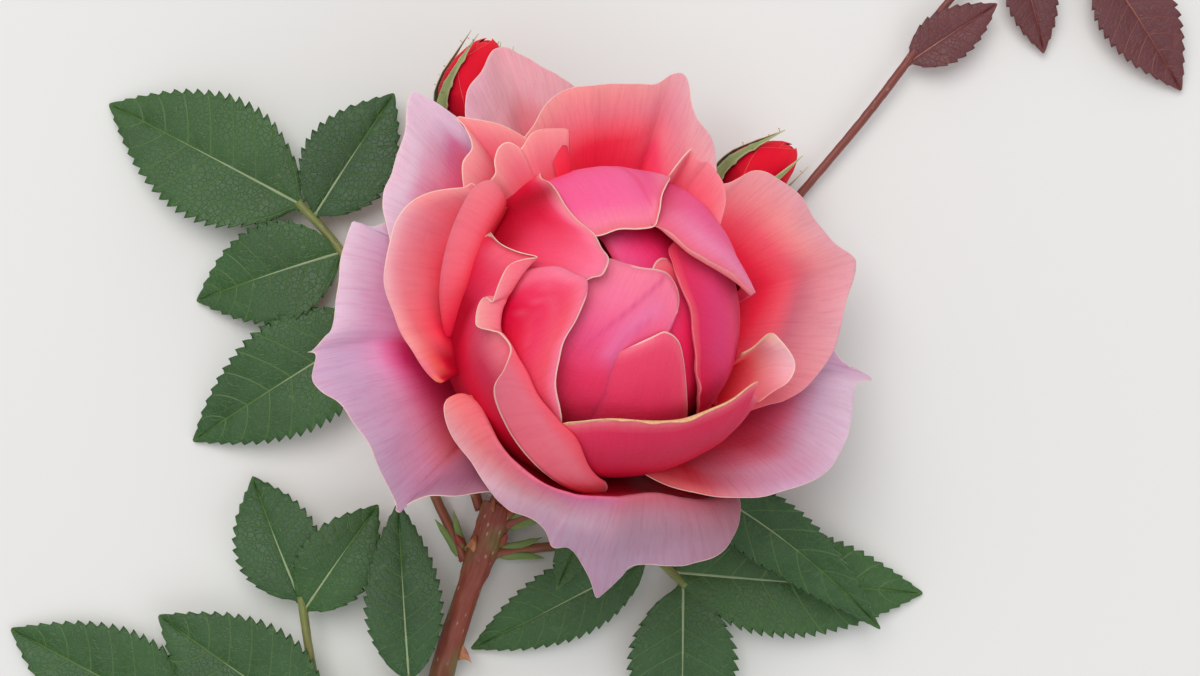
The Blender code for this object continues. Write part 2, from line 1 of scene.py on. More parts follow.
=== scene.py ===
import math
import bpy
import bmesh
import numpy as np
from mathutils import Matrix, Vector


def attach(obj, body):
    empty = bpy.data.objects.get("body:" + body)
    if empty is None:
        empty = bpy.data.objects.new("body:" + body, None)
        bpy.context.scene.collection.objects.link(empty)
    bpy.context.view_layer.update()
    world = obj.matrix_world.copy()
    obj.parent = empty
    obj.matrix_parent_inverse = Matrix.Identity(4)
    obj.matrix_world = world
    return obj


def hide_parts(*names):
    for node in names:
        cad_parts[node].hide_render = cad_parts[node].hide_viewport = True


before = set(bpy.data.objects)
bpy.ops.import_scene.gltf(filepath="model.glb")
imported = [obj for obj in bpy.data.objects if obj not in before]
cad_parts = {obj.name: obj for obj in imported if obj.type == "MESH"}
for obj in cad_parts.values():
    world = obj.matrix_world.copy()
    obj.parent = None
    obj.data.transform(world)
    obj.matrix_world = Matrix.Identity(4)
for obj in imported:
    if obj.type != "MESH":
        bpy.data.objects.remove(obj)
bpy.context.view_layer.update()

MM = 0.001

# ---- Floor, light and camera ----
# The rose lies on a plain pale floor, lit softly from all round with a large soft light
# above it. The camera looks down on the open bloom from 400 mm above its heart.
scene = bpy.context.scene
scene.view_settings.view_transform = "Standard"
scene.view_settings.look = "None"
FLOOR_HALF = 6.0
FLOOR_COLOUR = (0.80, 0.80, 0.78)
LIGHT_AIM = (0, 0.03, 0.05)
VIEW_TARGET = Vector((-0.6 * MM, 39.6 * MM, 52.8 * MM))
VIEW_DISTANCE = 0.400
VIEW_ELEVATION = math.radians(85.0)


def fill(node, values):
    """Gives a node's sockets their numbers, or links outputs to them."""
    for socket, value in values:
        if isinstance(value, bpy.types.NodeSocket):
            node.id_data.links.new(value, node.inputs[socket])
        else:
            node.inputs[socket].default_value = value


def put(tree, kind, values=(), **settings):
    """A new node with its settings and its (socket, value) pairs."""
    node = tree.nodes.new(kind)
    for key, value in settings.items():
        setattr(node, key, value)
    fill(node, values)
    return node


def sum_of(tree, kind, *values, clamp=False):
    """The output of a Math node over numbers and linked outputs."""
    return put(tree, "ShaderNodeMath", enumerate(values), operation=kind,
               use_clamp=clamp).outputs[0]


def blend_of(tree, factor, a, b, kind="MIX", share=None):
    """The colour output of a Mix node; share scales its factor."""
    if share is not None:
        factor = sum_of(tree, "MULTIPLY", factor, share)
    return put(tree, "ShaderNodeMix", [(0, factor), (6, a), (7, b)], data_type="RGBA",
               blend_type=kind).outputs[2]


def noise_of(tree, where, scale, detail=2.0, **more):
    """The output of a Noise node at some coordinates."""
    return put(tree, "ShaderNodeTexNoise", [("Vector", where), ("Scale", scale),
                                            ("Detail", detail), *more.items()]).outputs["Fac"]


def new_material(name):
    """A node material with its tree and its shader."""
    made = bpy.data.materials.new(name)
    made.use_nodes = True
    return made, made.node_tree, made.node_tree.nodes["Principled BSDF"]


def placed(name, data, place=None, ahead=None):
    """A new object in the scene; with ahead, it stands at place and looks that way."""
    made = bpy.data.objects.new(name, data)
    scene.collection.objects.link(made)
    if ahead is not None:
        made.location = place
        made.rotation_mode = "QUATERNION"
        made.rotation_quaternion = ahead.to_track_quat("-Z", "Y")
    return made


def soft_light(name, place, size, power, colour):
    """A square area light aimed at the rose."""
    data = bpy.data.lights.new(name, "AREA")
    data.size, data.energy, data.color = size, power, colour
    placed(name, data, place, Vector(LIGHT_AIM) - Vector(place))


floor_paper, paper_tree, paper = new_material("floor_paper")
paper_place = put(paper_tree, "ShaderNodeTexCoord").outputs["Object"]
paper_colour = blend_of(paper_tree, noise_of(paper_tree, paper_place, 6.0),
                        (*[c * 0.97 for c in FLOOR_COLOUR], 1), (*FLOOR_COLOUR, 1))
fill(paper, [("Roughness", 0.9), ("Base Color", paper_colour)])
floor_mesh = bpy.data.meshes.new("floor")
floor_mesh.from_pydata([(FLOOR_HALF * x, FLOOR_HALF * y, 0)
                        for x, y in ((-1, -1), (1, -1), (1, 1), (-1, 1))], [], [(0, 1, 2, 3)])
floor_mesh.materials.append(floor_paper)
placed("floor", floor_mesh)

world = bpy.data.worlds.new("studio")
scene.world = world
world.use_nodes = True
fill(world.node_tree.nodes["Background"], [("Color", (0.98, 0.98, 1.0, 1)), ("Strength", 0.55)])
soft_light("sky_light", (-0.25, 0.55, 1.3), 1.1, 11.0, (1.0, 0.99, 0.97))
soft_light("fill_light", (0.6, -0.7, 0.9), 0.9, 2.5, (0.93, 0.96, 1.0))

camera_data = bpy.data.cameras.new("camera")
camera_data.sensor_width = 36.0
camera_data.lens = 63.6
camera_data.clip_start, camera_data.clip_end = 0.02, 30.0
back = Vector((0.0, -math.cos(VIEW_ELEVATION), math.sin(VIEW_ELEVATION)))
scene.camera = placed("camera", camera_data, VIEW_TARGET + back * VIEW_DISTANCE, -back)

# ---- Outer petals ----
# Seven broad guard petals of thin velvety tissue grow from the foot of the bloom and turn
# back at their rims: lilac where the sun has bleached them, salmon to coral further in.
BLOOM_FOOT = np.array((-10.0, 34.1, 26.0))
HEART_HEIGHT = 30.0
PETAL_THICKNESS = 0.34
UP = np.array((0.0, 0.0, 1.0))
PETAL_FOOT = np.array((7.0, 4.0))
FOOT_WIDTH = 0.35
BROAD_WAVE, FINE_WAVE, CREASE = 17.0, 5.5, 3.4
GUARD_ROLL = 1.5
SOFT_DEPTH = 7.0
FAINT_RIM = 3.0


def unit(v):
    """Vectors scaled to length one."""
    return v / (np.linalg.norm(v, axis=-1, keepdims=True) + 1e-12)


AXIS = unit(np.array((0.300, 0.309, 0.903)))
EAST = unit(np.array((1.0, 0.0, 0.0)) - AXIS[0] * AXIS)
NORTH = np.cross(AXIS, EAST)


def on_bloom(p):
    """Bloom coordinates to the part's frame, in millimetres."""
    return BLOOM_FOOT + p[..., 0:1] * EAST + p[..., 1:2] * NORTH + p[..., 2:3] * AXIS


def screen(r, g, b):
    """A linear colour from screen values of 0 to 255."""
    c = np.array((r, g, b), float) / 255.0
    return np.where(c <= 0.04045, c / 12.92, ((c + 0.055) / 1.055) ** 2.4)


LILAC_WHITE = screen(230, 202, 220)
LILAC = screen(218, 178, 204)
# the next two tones are painted shade, for the parts of guard petals that lie in shadow
SHADED_LILAC = screen(184, 152, 174)
SHADED_ROSE = screen(166, 108, 126)
LILAC_PINK = screen(214, 126, 166)
MAUVE_ROSE = screen(208, 112, 130)
BLUSH = screen(234, 172, 180)
PALE_SALMON = screen(246, 156, 156)
SALMON = screen(242, 122, 138)
ORANGE_SALMON = screen(252, 122, 102)
CORAL = screen(248, 94, 112)
WARM_CORAL = screen(248, 68, 88)
SCARLET_PINK = screen(242, 38, 70)
ROSE = screen(246, 70, 108)
DEEP_ROSE = screen(224, 48, 90)
CRIMSON = screen(222, 14, 56)
WINE = screen(182, 2, 36)
DARK_WINE = screen(124, 0, 22)
CREAM = screen(255, 216, 200)
GUARD_BACK = [(0, LILAC), (6, LILAC_PINK), (16, SALMON), (34, PALE_SALMON), (50, BLUSH)]


def curve(points, count):
    """A smooth run of count samples through every given point."""
    p = np.array(points, float)
    q = np.vstack([2 * p[0] - p[1], p, 2 * p[-1] - p[-2]])
    t = np.linspace(0, len(p) - 1, count)
    i = np.minimum(t.astype(int), len(p) - 2)
    f = (t - i)[:, None]
    a, b, c, d = q[i], q[i + 1], q[i + 2], q[i + 3]
    return 0.5 * (2 * b + (c - a) * f + (2 * a - 5 * b + 4 * c - d) * f ** 2
                  + (3 * b - a - 3 * c + d) * f ** 3)


def bezier(t, a, b, c, d):
    """Points at t from a to d, pulled towards b and c."""
    return ((1 - t) ** 3 * a + 3 * (1 - t) ** 2 * t * b + 3 * (1 - t) * t ** 2 * c
            + t ** 3 * d)


def eased(t):
    """0 to 1 with a soft start and end."""
    return t * t * (3 - 2 * t)


def ray(degrees):
    """A direction in the plane of radius and height."""
    return np.array((np.cos(np.radians(degrees)), np.sin(np.radians(degrees))))


def wobble(points, length, seed):
    """A smooth drift between -1 and 1 over points in millimetres, one value for each:
    sine waves of about one length that cross at random."""
    waves, tallest = 7, 3.2
    dice = np.random.default_rng(seed)
    total = 0.0
    for k in range(waves):
        wave = unit(dice.normal(size=3)) * 2 * np.pi / (length * dice.uniform(0.6, 1.6))
        total = total + np.sin(points @ wave + dice.uniform(0, 2 * np.pi))
    return total / tallest


def sheet_normal(sheet):
    """Unit normals of a grid of points."""
    return unit(np.cross(np.gradient(sheet, axis=1), np.gradient(sheet, axis=0)))


def outward_normal(sheet):
    """Unit normals of a grid of points, on the side away from the bloom's axis."""
    normal = sheet_normal(sheet)
    low = slice(len(sheet) // 5, len(sheet) // 2)
    away = sheet[low] * np.array((1.0, 1.0, 0.0))
    return normal if np.median((normal[low] * away).sum(-1)) > 0 else -normal


def turned_back(sheet, length, turn, radius):
    """Adds rows past the rim that roll outward on a radius and then run on straight."""
    rows = 8
    ahead = unit(sheet[-1] - sheet[-2])
    out = outward_normal(sheet)[-1]
    out = unit(out - (out * ahead).sum(-1, keepdims=True) * ahead)
    point, added = sheet[-1], []
    for k in range(rows):
        arc = length * (k + 0.5) / rows
        angle = np.minimum(np.radians(turn), arc / radius)[:, None]
        point = point + (length / rows)[:, None] * (ahead * np.cos(angle) + out * np.sin(angle))
        added.append(point)
    return np.concatenate([sheet, np.array(added)], 0)


def folded_over(sheet, free, rise=0.42):
    """Adds rows that arch over the rim and come down on the free edge, given as points."""
    rows = 10
    ahead = unit(sheet[-1] - sheet[-2])
    span = np.linalg.norm(free - sheet[-1], axis=-1, keepdims=True)
    one, two = sheet[-1] + rise * span * ahead, free + rise * span * ahead
    added = [bezier(k / rows, sheet[-1], one, two, free) for k in range(1, rows + 1)]
    return np.concatenate([sheet, np.array(added)], 0)


def rounded(points):
    """(azimuth, radius, height) to bloom coordinates."""
    p = np.array(points, float)
    a = np.radians(p[..., 0])
    return np.stack([p[..., 1] * np.cos(a), p[..., 1] * np.sin(a), p[..., 2]], -1)


def softened(values, reach):
    """Values along a rim, averaged twice over reach samples to each side."""
    kernel = np.ones(2 * reach + 1) / (2 * reach + 1)
    rows = np.atleast_2d(values.T)
    for _ in range(2):
        rows = [np.convolve(np.pad(row, reach, "edge"), kernel, "valid") for row in rows]
    return np.squeeze(np.array(rows).T)


def full_between_ends(cols):
    """1 along a rim, easing to nothing at its two ends."""
    return np.sin(np.linspace(0.02, np.pi - 0.02, cols)) ** 0.35


def over_crest(w, first, top, last, ray0, ray1):
    """Lines from the foot over the crest, where they run almost flat, to the rim."""
    summit, level, climb, drop = 0.6, ray(80.0), 1.1, 0.9

    def run(a, b, ga, gb, s):
        return ((2 * s ** 3 - 3 * s ** 2 + 1) * a + (s ** 3 - 2 * s ** 2 + s) * ga
                + (3 * s ** 2 - 2 * s ** 3) * b + (s ** 3 - s ** 2) * gb)

    rise = np.linalg.norm(top - first, axis=-1, keepdims=True)
    fall = np.linalg.norm(last - top, axis=-1, keepdims=True)
    up = run(first, top, climb * rise * ray0, climb * rise * level,
             np.clip(w / summit, 0, 1))
    down = run(top, last, drop * fall * level, drop * fall * ray1,
               np.clip((w - summit) / (1 - summit), 0, 1))
    return np.where(w <= summit, up, down)


def flare(flow, rim, crest=None, over=None, lip=0.7, turn=60.0, wave=0.7, seed=1, rows=44,
          per=9, soft=1.0, widen=2.4):
    """An open petal from the foot to its rim, given as (azimuth, radius, height) points.

    flow is (start slope, start pull, end slope, end pull), and a list of end pulls is
    dealt along the rim; a crest is the line where the petal turns over, and then the
    pulls are not used. The rim rolls back by lip mm, or folds over to a free edge. wave
    is the height of its soft waves in millimetres, and soft is how far the body evens out
    the corners of its rim, in rim points; a low widen keeps the petal narrow until near
    its rim."""
    cols = (len(rim) - 1) * per + 1
    azimuth, radius, height = curve(rim, cols).T
    radius = radius - 0.6 * lip * (over is None)
    slope0, pull0, slope1, pull1 = flow
    pull1 = np.interp(np.linspace(0, 1, cols), np.linspace(0, 1, np.size(pull1)),
                      np.ravel(pull1))[:, None]
    first = np.tile(PETAL_FOOT, (cols, 1))
    rim = np.stack([radius, height], -1)
    last = softened(rim, int(soft * per))
    ray0, ray1 = ray(slope0), ray(slope1)
    w = np.linspace(0, 1, rows)[:, None, None]
    if crest is None:
        reach = np.hypot(*(last - PETAL_FOOT).T)[:, None]
        path = bezier(w, first, first + pull0 * reach * ray0, last - pull1 * reach * ray1,
                      last)
    else:
        line = curve(crest, 90)
        line = line[np.argsort(line[:, 0])]
        top = np.stack([np.interp(azimuth, line[:, 0], line[:, k]) for k in (1, 2)], -1)
        path = over_crest(w, first, top, last, ray0, ray1)
    path = path + w ** 5 * (rim - last)
    middle = 0.5 * (azimuth.min() + azimuth.max())
    widening = 1 - (1 - np.linspace(0, 1, rows)[:, None]) ** widen
    spread = FOOT_WIDTH + (1 - FOOT_WIDTH) * widening
    heads = np.radians(middle + (azimuth - middle)[None] * spread)
    sheet = np.stack([path[..., 0] * np.cos(heads), path[..., 0] * np.sin(heads),
                      path[..., 1]], -1)
    # soft waves, finer ones over them, and creases that run from foot to rim
    spoke = np.stack([np.degrees(heads) * 0.8, 0 * heads, 0.06 * sheet[..., 2]], -1)
    lift = (wave * wobble(sheet, BROAD_WAVE, seed)
            + 0.22 * wave * wobble(sheet, FINE_WAVE, seed + 50))
    lift = lift + 0.10 * wave * wobble(spoke, CREASE, seed + 70)
    grow = np.linspace(0, 1, rows)[:, None] ** 2
    sheet = sheet + sheet_normal(sheet) * (lift * grow)[..., None]
    if over is not None:
        return folded_over(sheet, rounded(curve(over, cols)))
    drift = 1 + 0.35 * wobble(sheet[-1], 9.0, seed + 9)
    return turned_back(sheet, lip * full_between_ends(cols) * drift, turn, GUARD_ROLL)


def painted(runs, distance, share):
    """Tints: each run is (millimetres from the crest, colour) stops, dealt out evenly
    from the rim's first end to its last. A stop may give screen values as its colour."""
    runs = runs if isinstance(runs[0], list) else [runs]
    layers = []
    for run in runs:
        colours = [stop[1] if len(stop) == 2 else screen(*stop[1:]) for stop in run]
        layers.append(np.stack([np.interp(distance, [stop[0] for stop in run],
                                          [c[k] for c in colours]) for k in range(3)], -1))
    if len(runs) == 1:
        return layers[0]
    at = np.clip(share, 0, 1) * (len(runs) - 1)
    low = np.clip(at.astype(int), 0, len(runs) - 2)
    part = eased(at - low)[..., None]
    pick, more = (np.take_along_axis(np.array(layers), low[None, ..., None] + k, 0)[0]
                  for k in (0, 1))
    return pick * (1 - part) + more * part


def closed_sheet(sheet, normal, thin, tints, edge, lay):
    """The closed skin round a thin sheet: points, faces, tint, rim distance and lay."""
    rows, cols = sheet.shape[:2]
    n = rows * cols
    at = np.arange(n).reshape(rows, cols)
    quads = np.stack([at[:-1, :-1], at[:-1, 1:], at[1:, 1:], at[1:, :-1]], -1).reshape(-1, 4)
    ring = np.concatenate([at[0, :], at[1:, -1], at[-1, -2::-1], at[-2:0:-1, 0]])
    nxt = np.roll(ring, -1)
    half = normal * thin[..., None] / 2
    return {"points": np.vstack([(sheet + half).reshape(-1, 3),
                                 (sheet - half).reshape(-1, 3)]),
            "faces": np.vstack([quads, quads[:, ::-1] + n,
                                np.stack([nxt, ring, ring + n, nxt + n], -1)]),
            "tint": np.vstack([tint.reshape(-1, 3) for tint in tints]),
            "edge": np.tile(edge.ravel(), 2), "lay": np.tile(lay.reshape(-1, 3), (2, 1))}


def petal(sheet, body, inside, outside, pale=None, thickness=PETAL_THICKNESS):
    """One petal's closed skin. body is its count of rows up to the crest; inside and
    outside are runs of colour stops; pale gives the strength of the light rim, from the
    rim's first end to its last."""
    rows, cols = sheet.shape[:2]
    across = np.linalg.norm(np.diff(sheet, axis=1), axis=-1)
    along = np.linalg.norm(np.diff(sheet, axis=0), axis=-1)
    gone = np.vstack([np.zeros((1, cols)), np.cumsum(along, 0)])
    to_rim, to_crest = gone[-1:] - gone, gone[body - 1:body] - gone
    length = gone[body - 1]
    # colours follow the rim at the crest, and its softened line from SOFT_DEPTH inward
    inward = np.clip(to_crest / SOFT_DEPTH, 0, 1)
    far = to_crest + (softened(length, max(2, cols // 14)) - length) * eased(inward)
    left = np.hstack([np.zeros((rows, 1)), np.cumsum(across, 1)])
    edge = np.minimum(to_rim, np.minimum(left, left[:, -1:] - left))
    share = np.linspace(0, 1, cols)[None, :] * np.ones((rows, 1))
    if pale is not None:
        strength = np.interp(share, np.linspace(0, 1, len(pale)), pale)
        edge = edge + FAINT_RIM * (1 - strength)
    # the petal thins to half towards its rim
    thin = thickness * np.clip(0.5 + np.minimum(to_rim, left + 1) / 3.0, 0.5, 1)
    lay = np.stack([(share - 0.5) * left[body - 1, -1], to_rim, 0 * share], -1)
    tints = [painted(runs, far, share) for runs in (outside, inside)]
    return closed_sheet(sheet, outward_normal(sheet), thin, tints, edge, lay)


def flared(petals, flow, rim, inside, outside, pale=None, rows=44, body=None, **shape):
    """Adds an open petal to the list; body is its count of rows up to the crest."""
    sheet = flare(flow, rim, rows=rows, **shape)
    petals.append(petal(sheet, body or rows, inside, outside, pale))


def piece_from(name, skins, material, nodes, place=None):
    """Joins skins into one mesh piece with tint, edge and lay attributes."""
    points, faces, start = [], [], 0
    for skin in skins:
        at = skin["points"] if place is None else place(skin["points"])
        points.append(at * MM)
        faces.extend((skin["faces"] + start).tolist())
        faces.extend([k + start for k in cap] for cap in skin.get("caps", ()))
        start += len(at)
    mesh = bpy.data.meshes.new(name)
    mesh.from_pydata(np.vstack(points).tolist(), [], faces)
    rgba = np.hstack([np.vstack([s["tint"] for s in skins]), np.ones((start, 1))])
    for label, kind, key, values in (
            ("tint", "FLOAT_COLOR", "color", rgba),
            ("edge", "FLOAT", "value", np.concatenate([s["edge"] for s in skins])),
            ("lay", "FLOAT_VECTOR", "vector", np.vstack([s["lay"] for s in skins]))):
        attribute = mesh.attributes.new(label, kind, "POINT")
        attribute.data.foreach_set(key, values.astype(np.float32).ravel())
    work = bmesh.new()
    work.from_mesh(mesh)
    bmesh.ops.recalc_face_normals(work, faces=work.faces)
    work.to_mesh(mesh)
    work.free()
    mesh.shade_smooth()
    mesh.materials.append(material)
    made = placed(name, mesh)
    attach(made, "root")
    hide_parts(*nodes)
    return made


def stretched(tree, where, scale):
    """Coordinates scaled along each axis."""
    return put(tree, "ShaderNodeMapping", [("Vector", where), ("Scale", scale)]).outputs[0]


def above(tree, value, low, gain):
    """How far a value is above low, times gain, kept between 0 and 1."""
    return sum_of(tree, "MULTIPLY", sum_of(tree, "SUBTRACT", value, low), gain, clamp=True)


def within(tree, value, width):
    """1 where a value is 0, falling to 0 at width."""
    return sum_of(tree, "SUBTRACT", 1.0, sum_of(tree, "DIVIDE", value, width), clamp=True)


def weighed(tree, *pairs, start=None):
    """The sum of (value, weight) pairs, from start on."""
    total = start
    for value, weight in pairs:
        part = sum_of(tree, "MULTIPLY", value, weight)
        total = part if total is None else sum_of(tree, "ADD", total, part)
    return total


def tissue_group(name, inputs, build):
    """A shader group that makes a skin's colour, relief and roughness from its inputs."""
    kinds = {"colour": "NodeSocketColor", "vector": "NodeSocketVector",
             "value": "NodeSocketFloat"}
    results = (("Colour", "colour"), ("Relief", "value"), ("Roughness", "value"))
    tree = bpy.data.node_groups.new(name, "ShaderNodeTree")
    for sockets, way in ((inputs, "INPUT"), (results, "OUTPUT")):
        for label, kind in sockets:
            tree.interface.new_socket(label, in_out=way, socket_type=kinds[kind])
    made = build(tree, tree.nodes.new("NodeGroupInput").outputs)
    fill(tree.nodes.new("NodeGroupOutput"), enumerate(made))
    return tree


def tissue_material(name, tissue, given, bump, depth, skin):
    """A material with a tissue's skin: given fills the group's inputs, bump and depth are
    its relief's strength and metres, and skin fills the shader's own sockets."""
    made, tree, shader = new_material(name)
    group = put(tree, "ShaderNodeGroup", given, node_tree=tissue)
    for label, attribute, output in (("Tint", "tint", "Color"), ("Lay", "lay", "Vector"),
                                     ("Edge", "edge", "Fac")):
        if label in group.inputs:
            read = put(tree, "ShaderNodeAttribute", attribute_name=attribute)
            fill(group, [(label, read.outputs[output])])
    relief = put(tree, "ShaderNodeBump", [("Strength", bump), ("Distance", depth),
                                          ("Height", group.outputs["Relief"])])
    fill(shader, [("Base Color", group.outputs["Colour"]),
                  ("Roughness", group.outputs["Roughness"]),
                  ("Normal", relief.outputs["Normal"])] + skin)
    return made


def petal_tissue(tree, given):
    """Drift of colour, fine veins, cross wrinkles and the pale dry rim of a petal."""

    def noise(scale, stretch=(1.0, 1.0, 1.0), detail=3.0, distortion=0.0):
        return noise_of(tree, stretched(tree, given["Lay"], stretch), scale, detail,
                        Roughness=0.6, Distortion=distortion)

    drift, grain = noise(0.16), noise(6.0, detail=1.0)
    wrinkle = noise(1.5, (0.22, 1.0, 1.0), 3.0, 0.8)
    veins = weighed(tree, (noise(2.0, (1.0, 0.07, 1.0), 3.0, 0.5), 0.74),
                    (noise(0.7, (1.0, 0.06, 1.0), 2.0, 0.6), 0.26))
    line = above(tree, veins, 0.47, 4.0)
    colour = blend_of(tree, line, given["Tint"], (0.84, 0.58, 0.70, 1), "MULTIPLY",
                      given["Veins"])
    colour = blend_of(tree, above(tree, drift, 0.42, 1.6), colour, (1.0, 0.84, 0.88, 1),
                      "MULTIPLY", 0.35)
    colour = blend_of(tree, grain, colour, (0.90, 0.74, 0.80, 1), "MULTIPLY", 0.3)
    width = sum_of(tree, "MULTIPLY", given["Rim Width"],
                   weighed(tree, (wrinkle, 1.3), start=0.35))
    rim = sum_of(tree, "POWER", within(tree, given["Edge"], width), 0.7)
    fleck = above(tree, noise(1.1, detail=4.0), 0.5, 5.0)
    dry = blend_of(tree, fleck, given["Rim Colour"], (0.72, 0.52, 0.40, 1), "MULTIPLY",
                   given["Flecks"])
    relief = weighed(tree, (veins, given["Veins"]), (wrinkle, given["Wrinkles"]),
                     (grain, 0.12))
    return (blend_of(tree, rim, colour, dry, share=0.9), relief,
            weighed(tree, (drift, 0.22), start=0.5))


PETAL_TISSUE = tissue_group("petal_tissue",
                            [("Tint", "colour"), ("Lay", "vector"), ("Edge", "value"),
                             ("Veins", "value"), ("Wrinkles", "value"),
                             ("Flecks", "value"), ("Rim Width", "value"),
                             ("Rim Colour", "colour")], petal_tissue)
PETAL_SKIN = [("Sheen Weight", 0.015), ("Sheen Roughness", 0.4),
              ("Sheen Tint", (1.0, 0.5, 0.6, 1)), ("Specular IOR Level", 0.10),
              ("Subsurface Weight", 0.3), ("Subsurface Radius", (1.0, 0.25, 0.3)),
              ("Subsurface Scale", 0.0006)]


def petal_material(name, veins, wrinkles, rim_width, rim_colour, bump, flecks=0.0):
    """Velvety petal skin with its own vein depth and rim line."""
    return tissue_material(name, PETAL_TISSUE,
                           [("Veins", veins), ("Wrinkles", wrinkles), ("Flecks", flecks),
                            ("Rim Width", rim_width), ("Rim Colour", (*rim_colour, 1))],
                           bump, 0.0005, PETAL_SKIN)


outer_petals = []
# left guard; towards its last end its runs darken to dusky mauve and wine, painted shade in its crease
# under the folded petals
flared(
    outer_petals, (55, 0.45, -25, 0.3),
    [(150, 39, 22), (156, 43, 24), (160, 45.5, 24), (160, 48.7, 23), (162, 49, 23), (167, 48.6, 22),
     (176, 48.2, 21), (184, 48.4, 19), (186, 49.6, 17), (187.4, 52, 13), (189.4, 50.9, 15),
     (194, 52.5, 16), (198, 51.9, 18), (203, 49.3, 19), (212, 47.5, 18), (218, 47.4, 15),
     (225, 47.5, 11), (227, 48, 10), (228, 46.6, 11), (230, 44.3, 15), (234, 41.9, 17), (240, 37.9, 18),
     (250, 34, 20)],
    [[(0, LILAC_WHITE), (4, LILAC), (9, LILAC_PINK), (18, ROSE), (30, CRIMSON)],
     [(0, LILAC_WHITE), (4, LILAC), (8, 214, 154, 188), (12, 224, 146, 188), (16, 238, 100, 150),
      (24, CRIMSON)],
     [(0, 212, 176, 204), (4, 202, 168, 198), (8, 210, 164, 198), (11, 230, 160, 202),
      (13.5, 236, 116, 172), (16, 214, 50, 112), (18, 186, 32, 84), (22, 160, 14, 50), (26, WINE)],
     [(0, SHADED_LILAC), (2.5, 192, 142, 172), (8, 206, 132, 160), (11, MAUVE_ROSE), (14, 200, 80, 92),
      (18, 168, 30, 50), (24, WINE)],
     [(0, SHADED_ROSE), (4, 138, 60, 86), (10, 140, 38, 60), (18, WINE)]], GUARD_BACK, seed=3, per=7,
    soft=2.6)
# front guard; its greyed lilac and mauve tints, darkest at its last end, are painted shade on this low
# petal, and the dark wine deep in its hollow is partly painted shade
flared(
    outer_petals, (60, 0.6, -40, 0.35),
    [(-141.5, 31, 31), (-143.3, 32.8, 31), (-144.3, 34.5, 30.9), (-144, 35.8, 30.3), (-142, 36.7, 29.6),
     (-139, 37.1, 28.4), (-135, 37.2, 27), (-128, 37.1, 25), (-121, 37.6, 22), (-111, 38.5, 19),
     (-104, 38, 18), (-99, 38.8, 17), (-96, 41.3, 16), (-91, 40.8, 15), (-87, 42.3, 13), (-84, 44.7, 10),
     (-81.5, 47.6, 7), (-79.5, 47, 8), (-76, 45.2, 10), (-73, 43.8, 12), (-65, 45.6, 12),
     (-57, 47.4, 11.3), (-51, 48.4, 11), (-45, 47.6, 11.5), (-40, 45.4, 12.5), (-37, 42.3, 14)],
    [[(-12, BLUSH), (-7, 248, 150, 142), (-3, 250, 126, 122), (0, ORANGE_SALMON), (1.5, WARM_CORAL),
      (4, CRIMSON), (10, WINE), (18, DARK_WINE)],
     [(-16, SHADED_LILAC), (-10, 236, 186, 196), (-7, 234, 160, 166), (-4, 242, 130, 134),
      (-1.5, 240, 116, 128), (0.5, SALMON), (2, CORAL), (4.5, CRIMSON), (9, WINE), (16, DARK_WINE)],
     [(-20, SHADED_LILAC), (-13, 194, 160, 182), (-9, 214, 176, 196), (-5, 216, 158, 178),
      (-1.5, LILAC_PINK), (1, ROSE), (4, CRIMSON), (9, WINE), (16, DARK_WINE)],
     [(-18, SHADED_LILAC), (-10, 178, 140, 158), (-6, 194, 138, 156), (-2, MAUVE_ROSE), (0.5, MAUVE_ROSE),
      (2.5, DEEP_ROSE), (6, WINE), (14, DARK_WINE)],
     [(-12, 170, 120, 134), (-7, 162, 98, 110), (-3, 150, 70, 80), (0, 150, 56, 64), (3, 150, 24, 44),
      (8, WINE), (14, DARK_WINE)]], GUARD_BACK,
    crest=[(-145, 31.2, 30.8), (-139, 31, 30.6), (-127, 33.1, 30), (-119, 34.6, 30), (-110, 35.7, 30),
           (-103, 35.8, 29), (-96, 35.7, 29), (-88, 35, 28), (-77, 34.2, 26.5), (-66, 34.1, 24),
           (-55, 36.2, 20), (-47, 38.6, 17.4), (-40, 40, 16)], wave=0.5, seed=5, rows=56, per=6, body=34)
# right guard; the dark red of its first runs is painted shadow under the front cup
flared(
    outer_petals, (50, 0.45, -20, 0.3),
    [(-72, 28, 24.5), (-68, 30.8, 24.5), (-58, 35.1, 22.8), (-51, 38.3, 21.5), (-42, 43.3, 20.3),
     (-32, 49, 18), (-24, 54.1, 17), (-18, 56.3, 16), (-9, 58, 16), (-4, 58.9, 15), (-1, 59.2, 15),
     (1, 61.1, 14), (2.6, 64.6, 12), (3.6, 60.4, 14), (4, 56.9, 16), (6, 52.5, 19), (12, 47, 17)],
    [[(0, 176, 36, 46), (3, 170, 16, 36), (8, WINE), (16, DARK_WINE)],
     [(0, 226, 110, 112), (2, 196, 60, 72), (5, 182, 30, 46), (10, 168, 20, 40), (18, WINE)],
     [(0, LILAC), (3, 214, 154, 180), (6, 214, 148, 172), (9, 208, 100, 124), (13, 186, 46, 68),
      (22, WINE)],
     [(0, LILAC_WHITE), (8, 212, 174, 198), (11, 214, 146, 174), (14, 216, 92, 122), (18, 190, 48, 76),
      (28, WINE)],
     [(0, LILAC_WHITE), (12, LILAC), (17, LILAC_PINK), (24, DEEP_ROSE)],
     [(0, LILAC), (12, LILAC), (22, LILAC_PINK), (30, DEEP_ROSE)],
     [(0, LILAC), (12, LILAC), (22, LILAC_PINK), (30, DEEP_ROSE)]], GUARD_BACK, wave=0.5, seed=7, per=8)
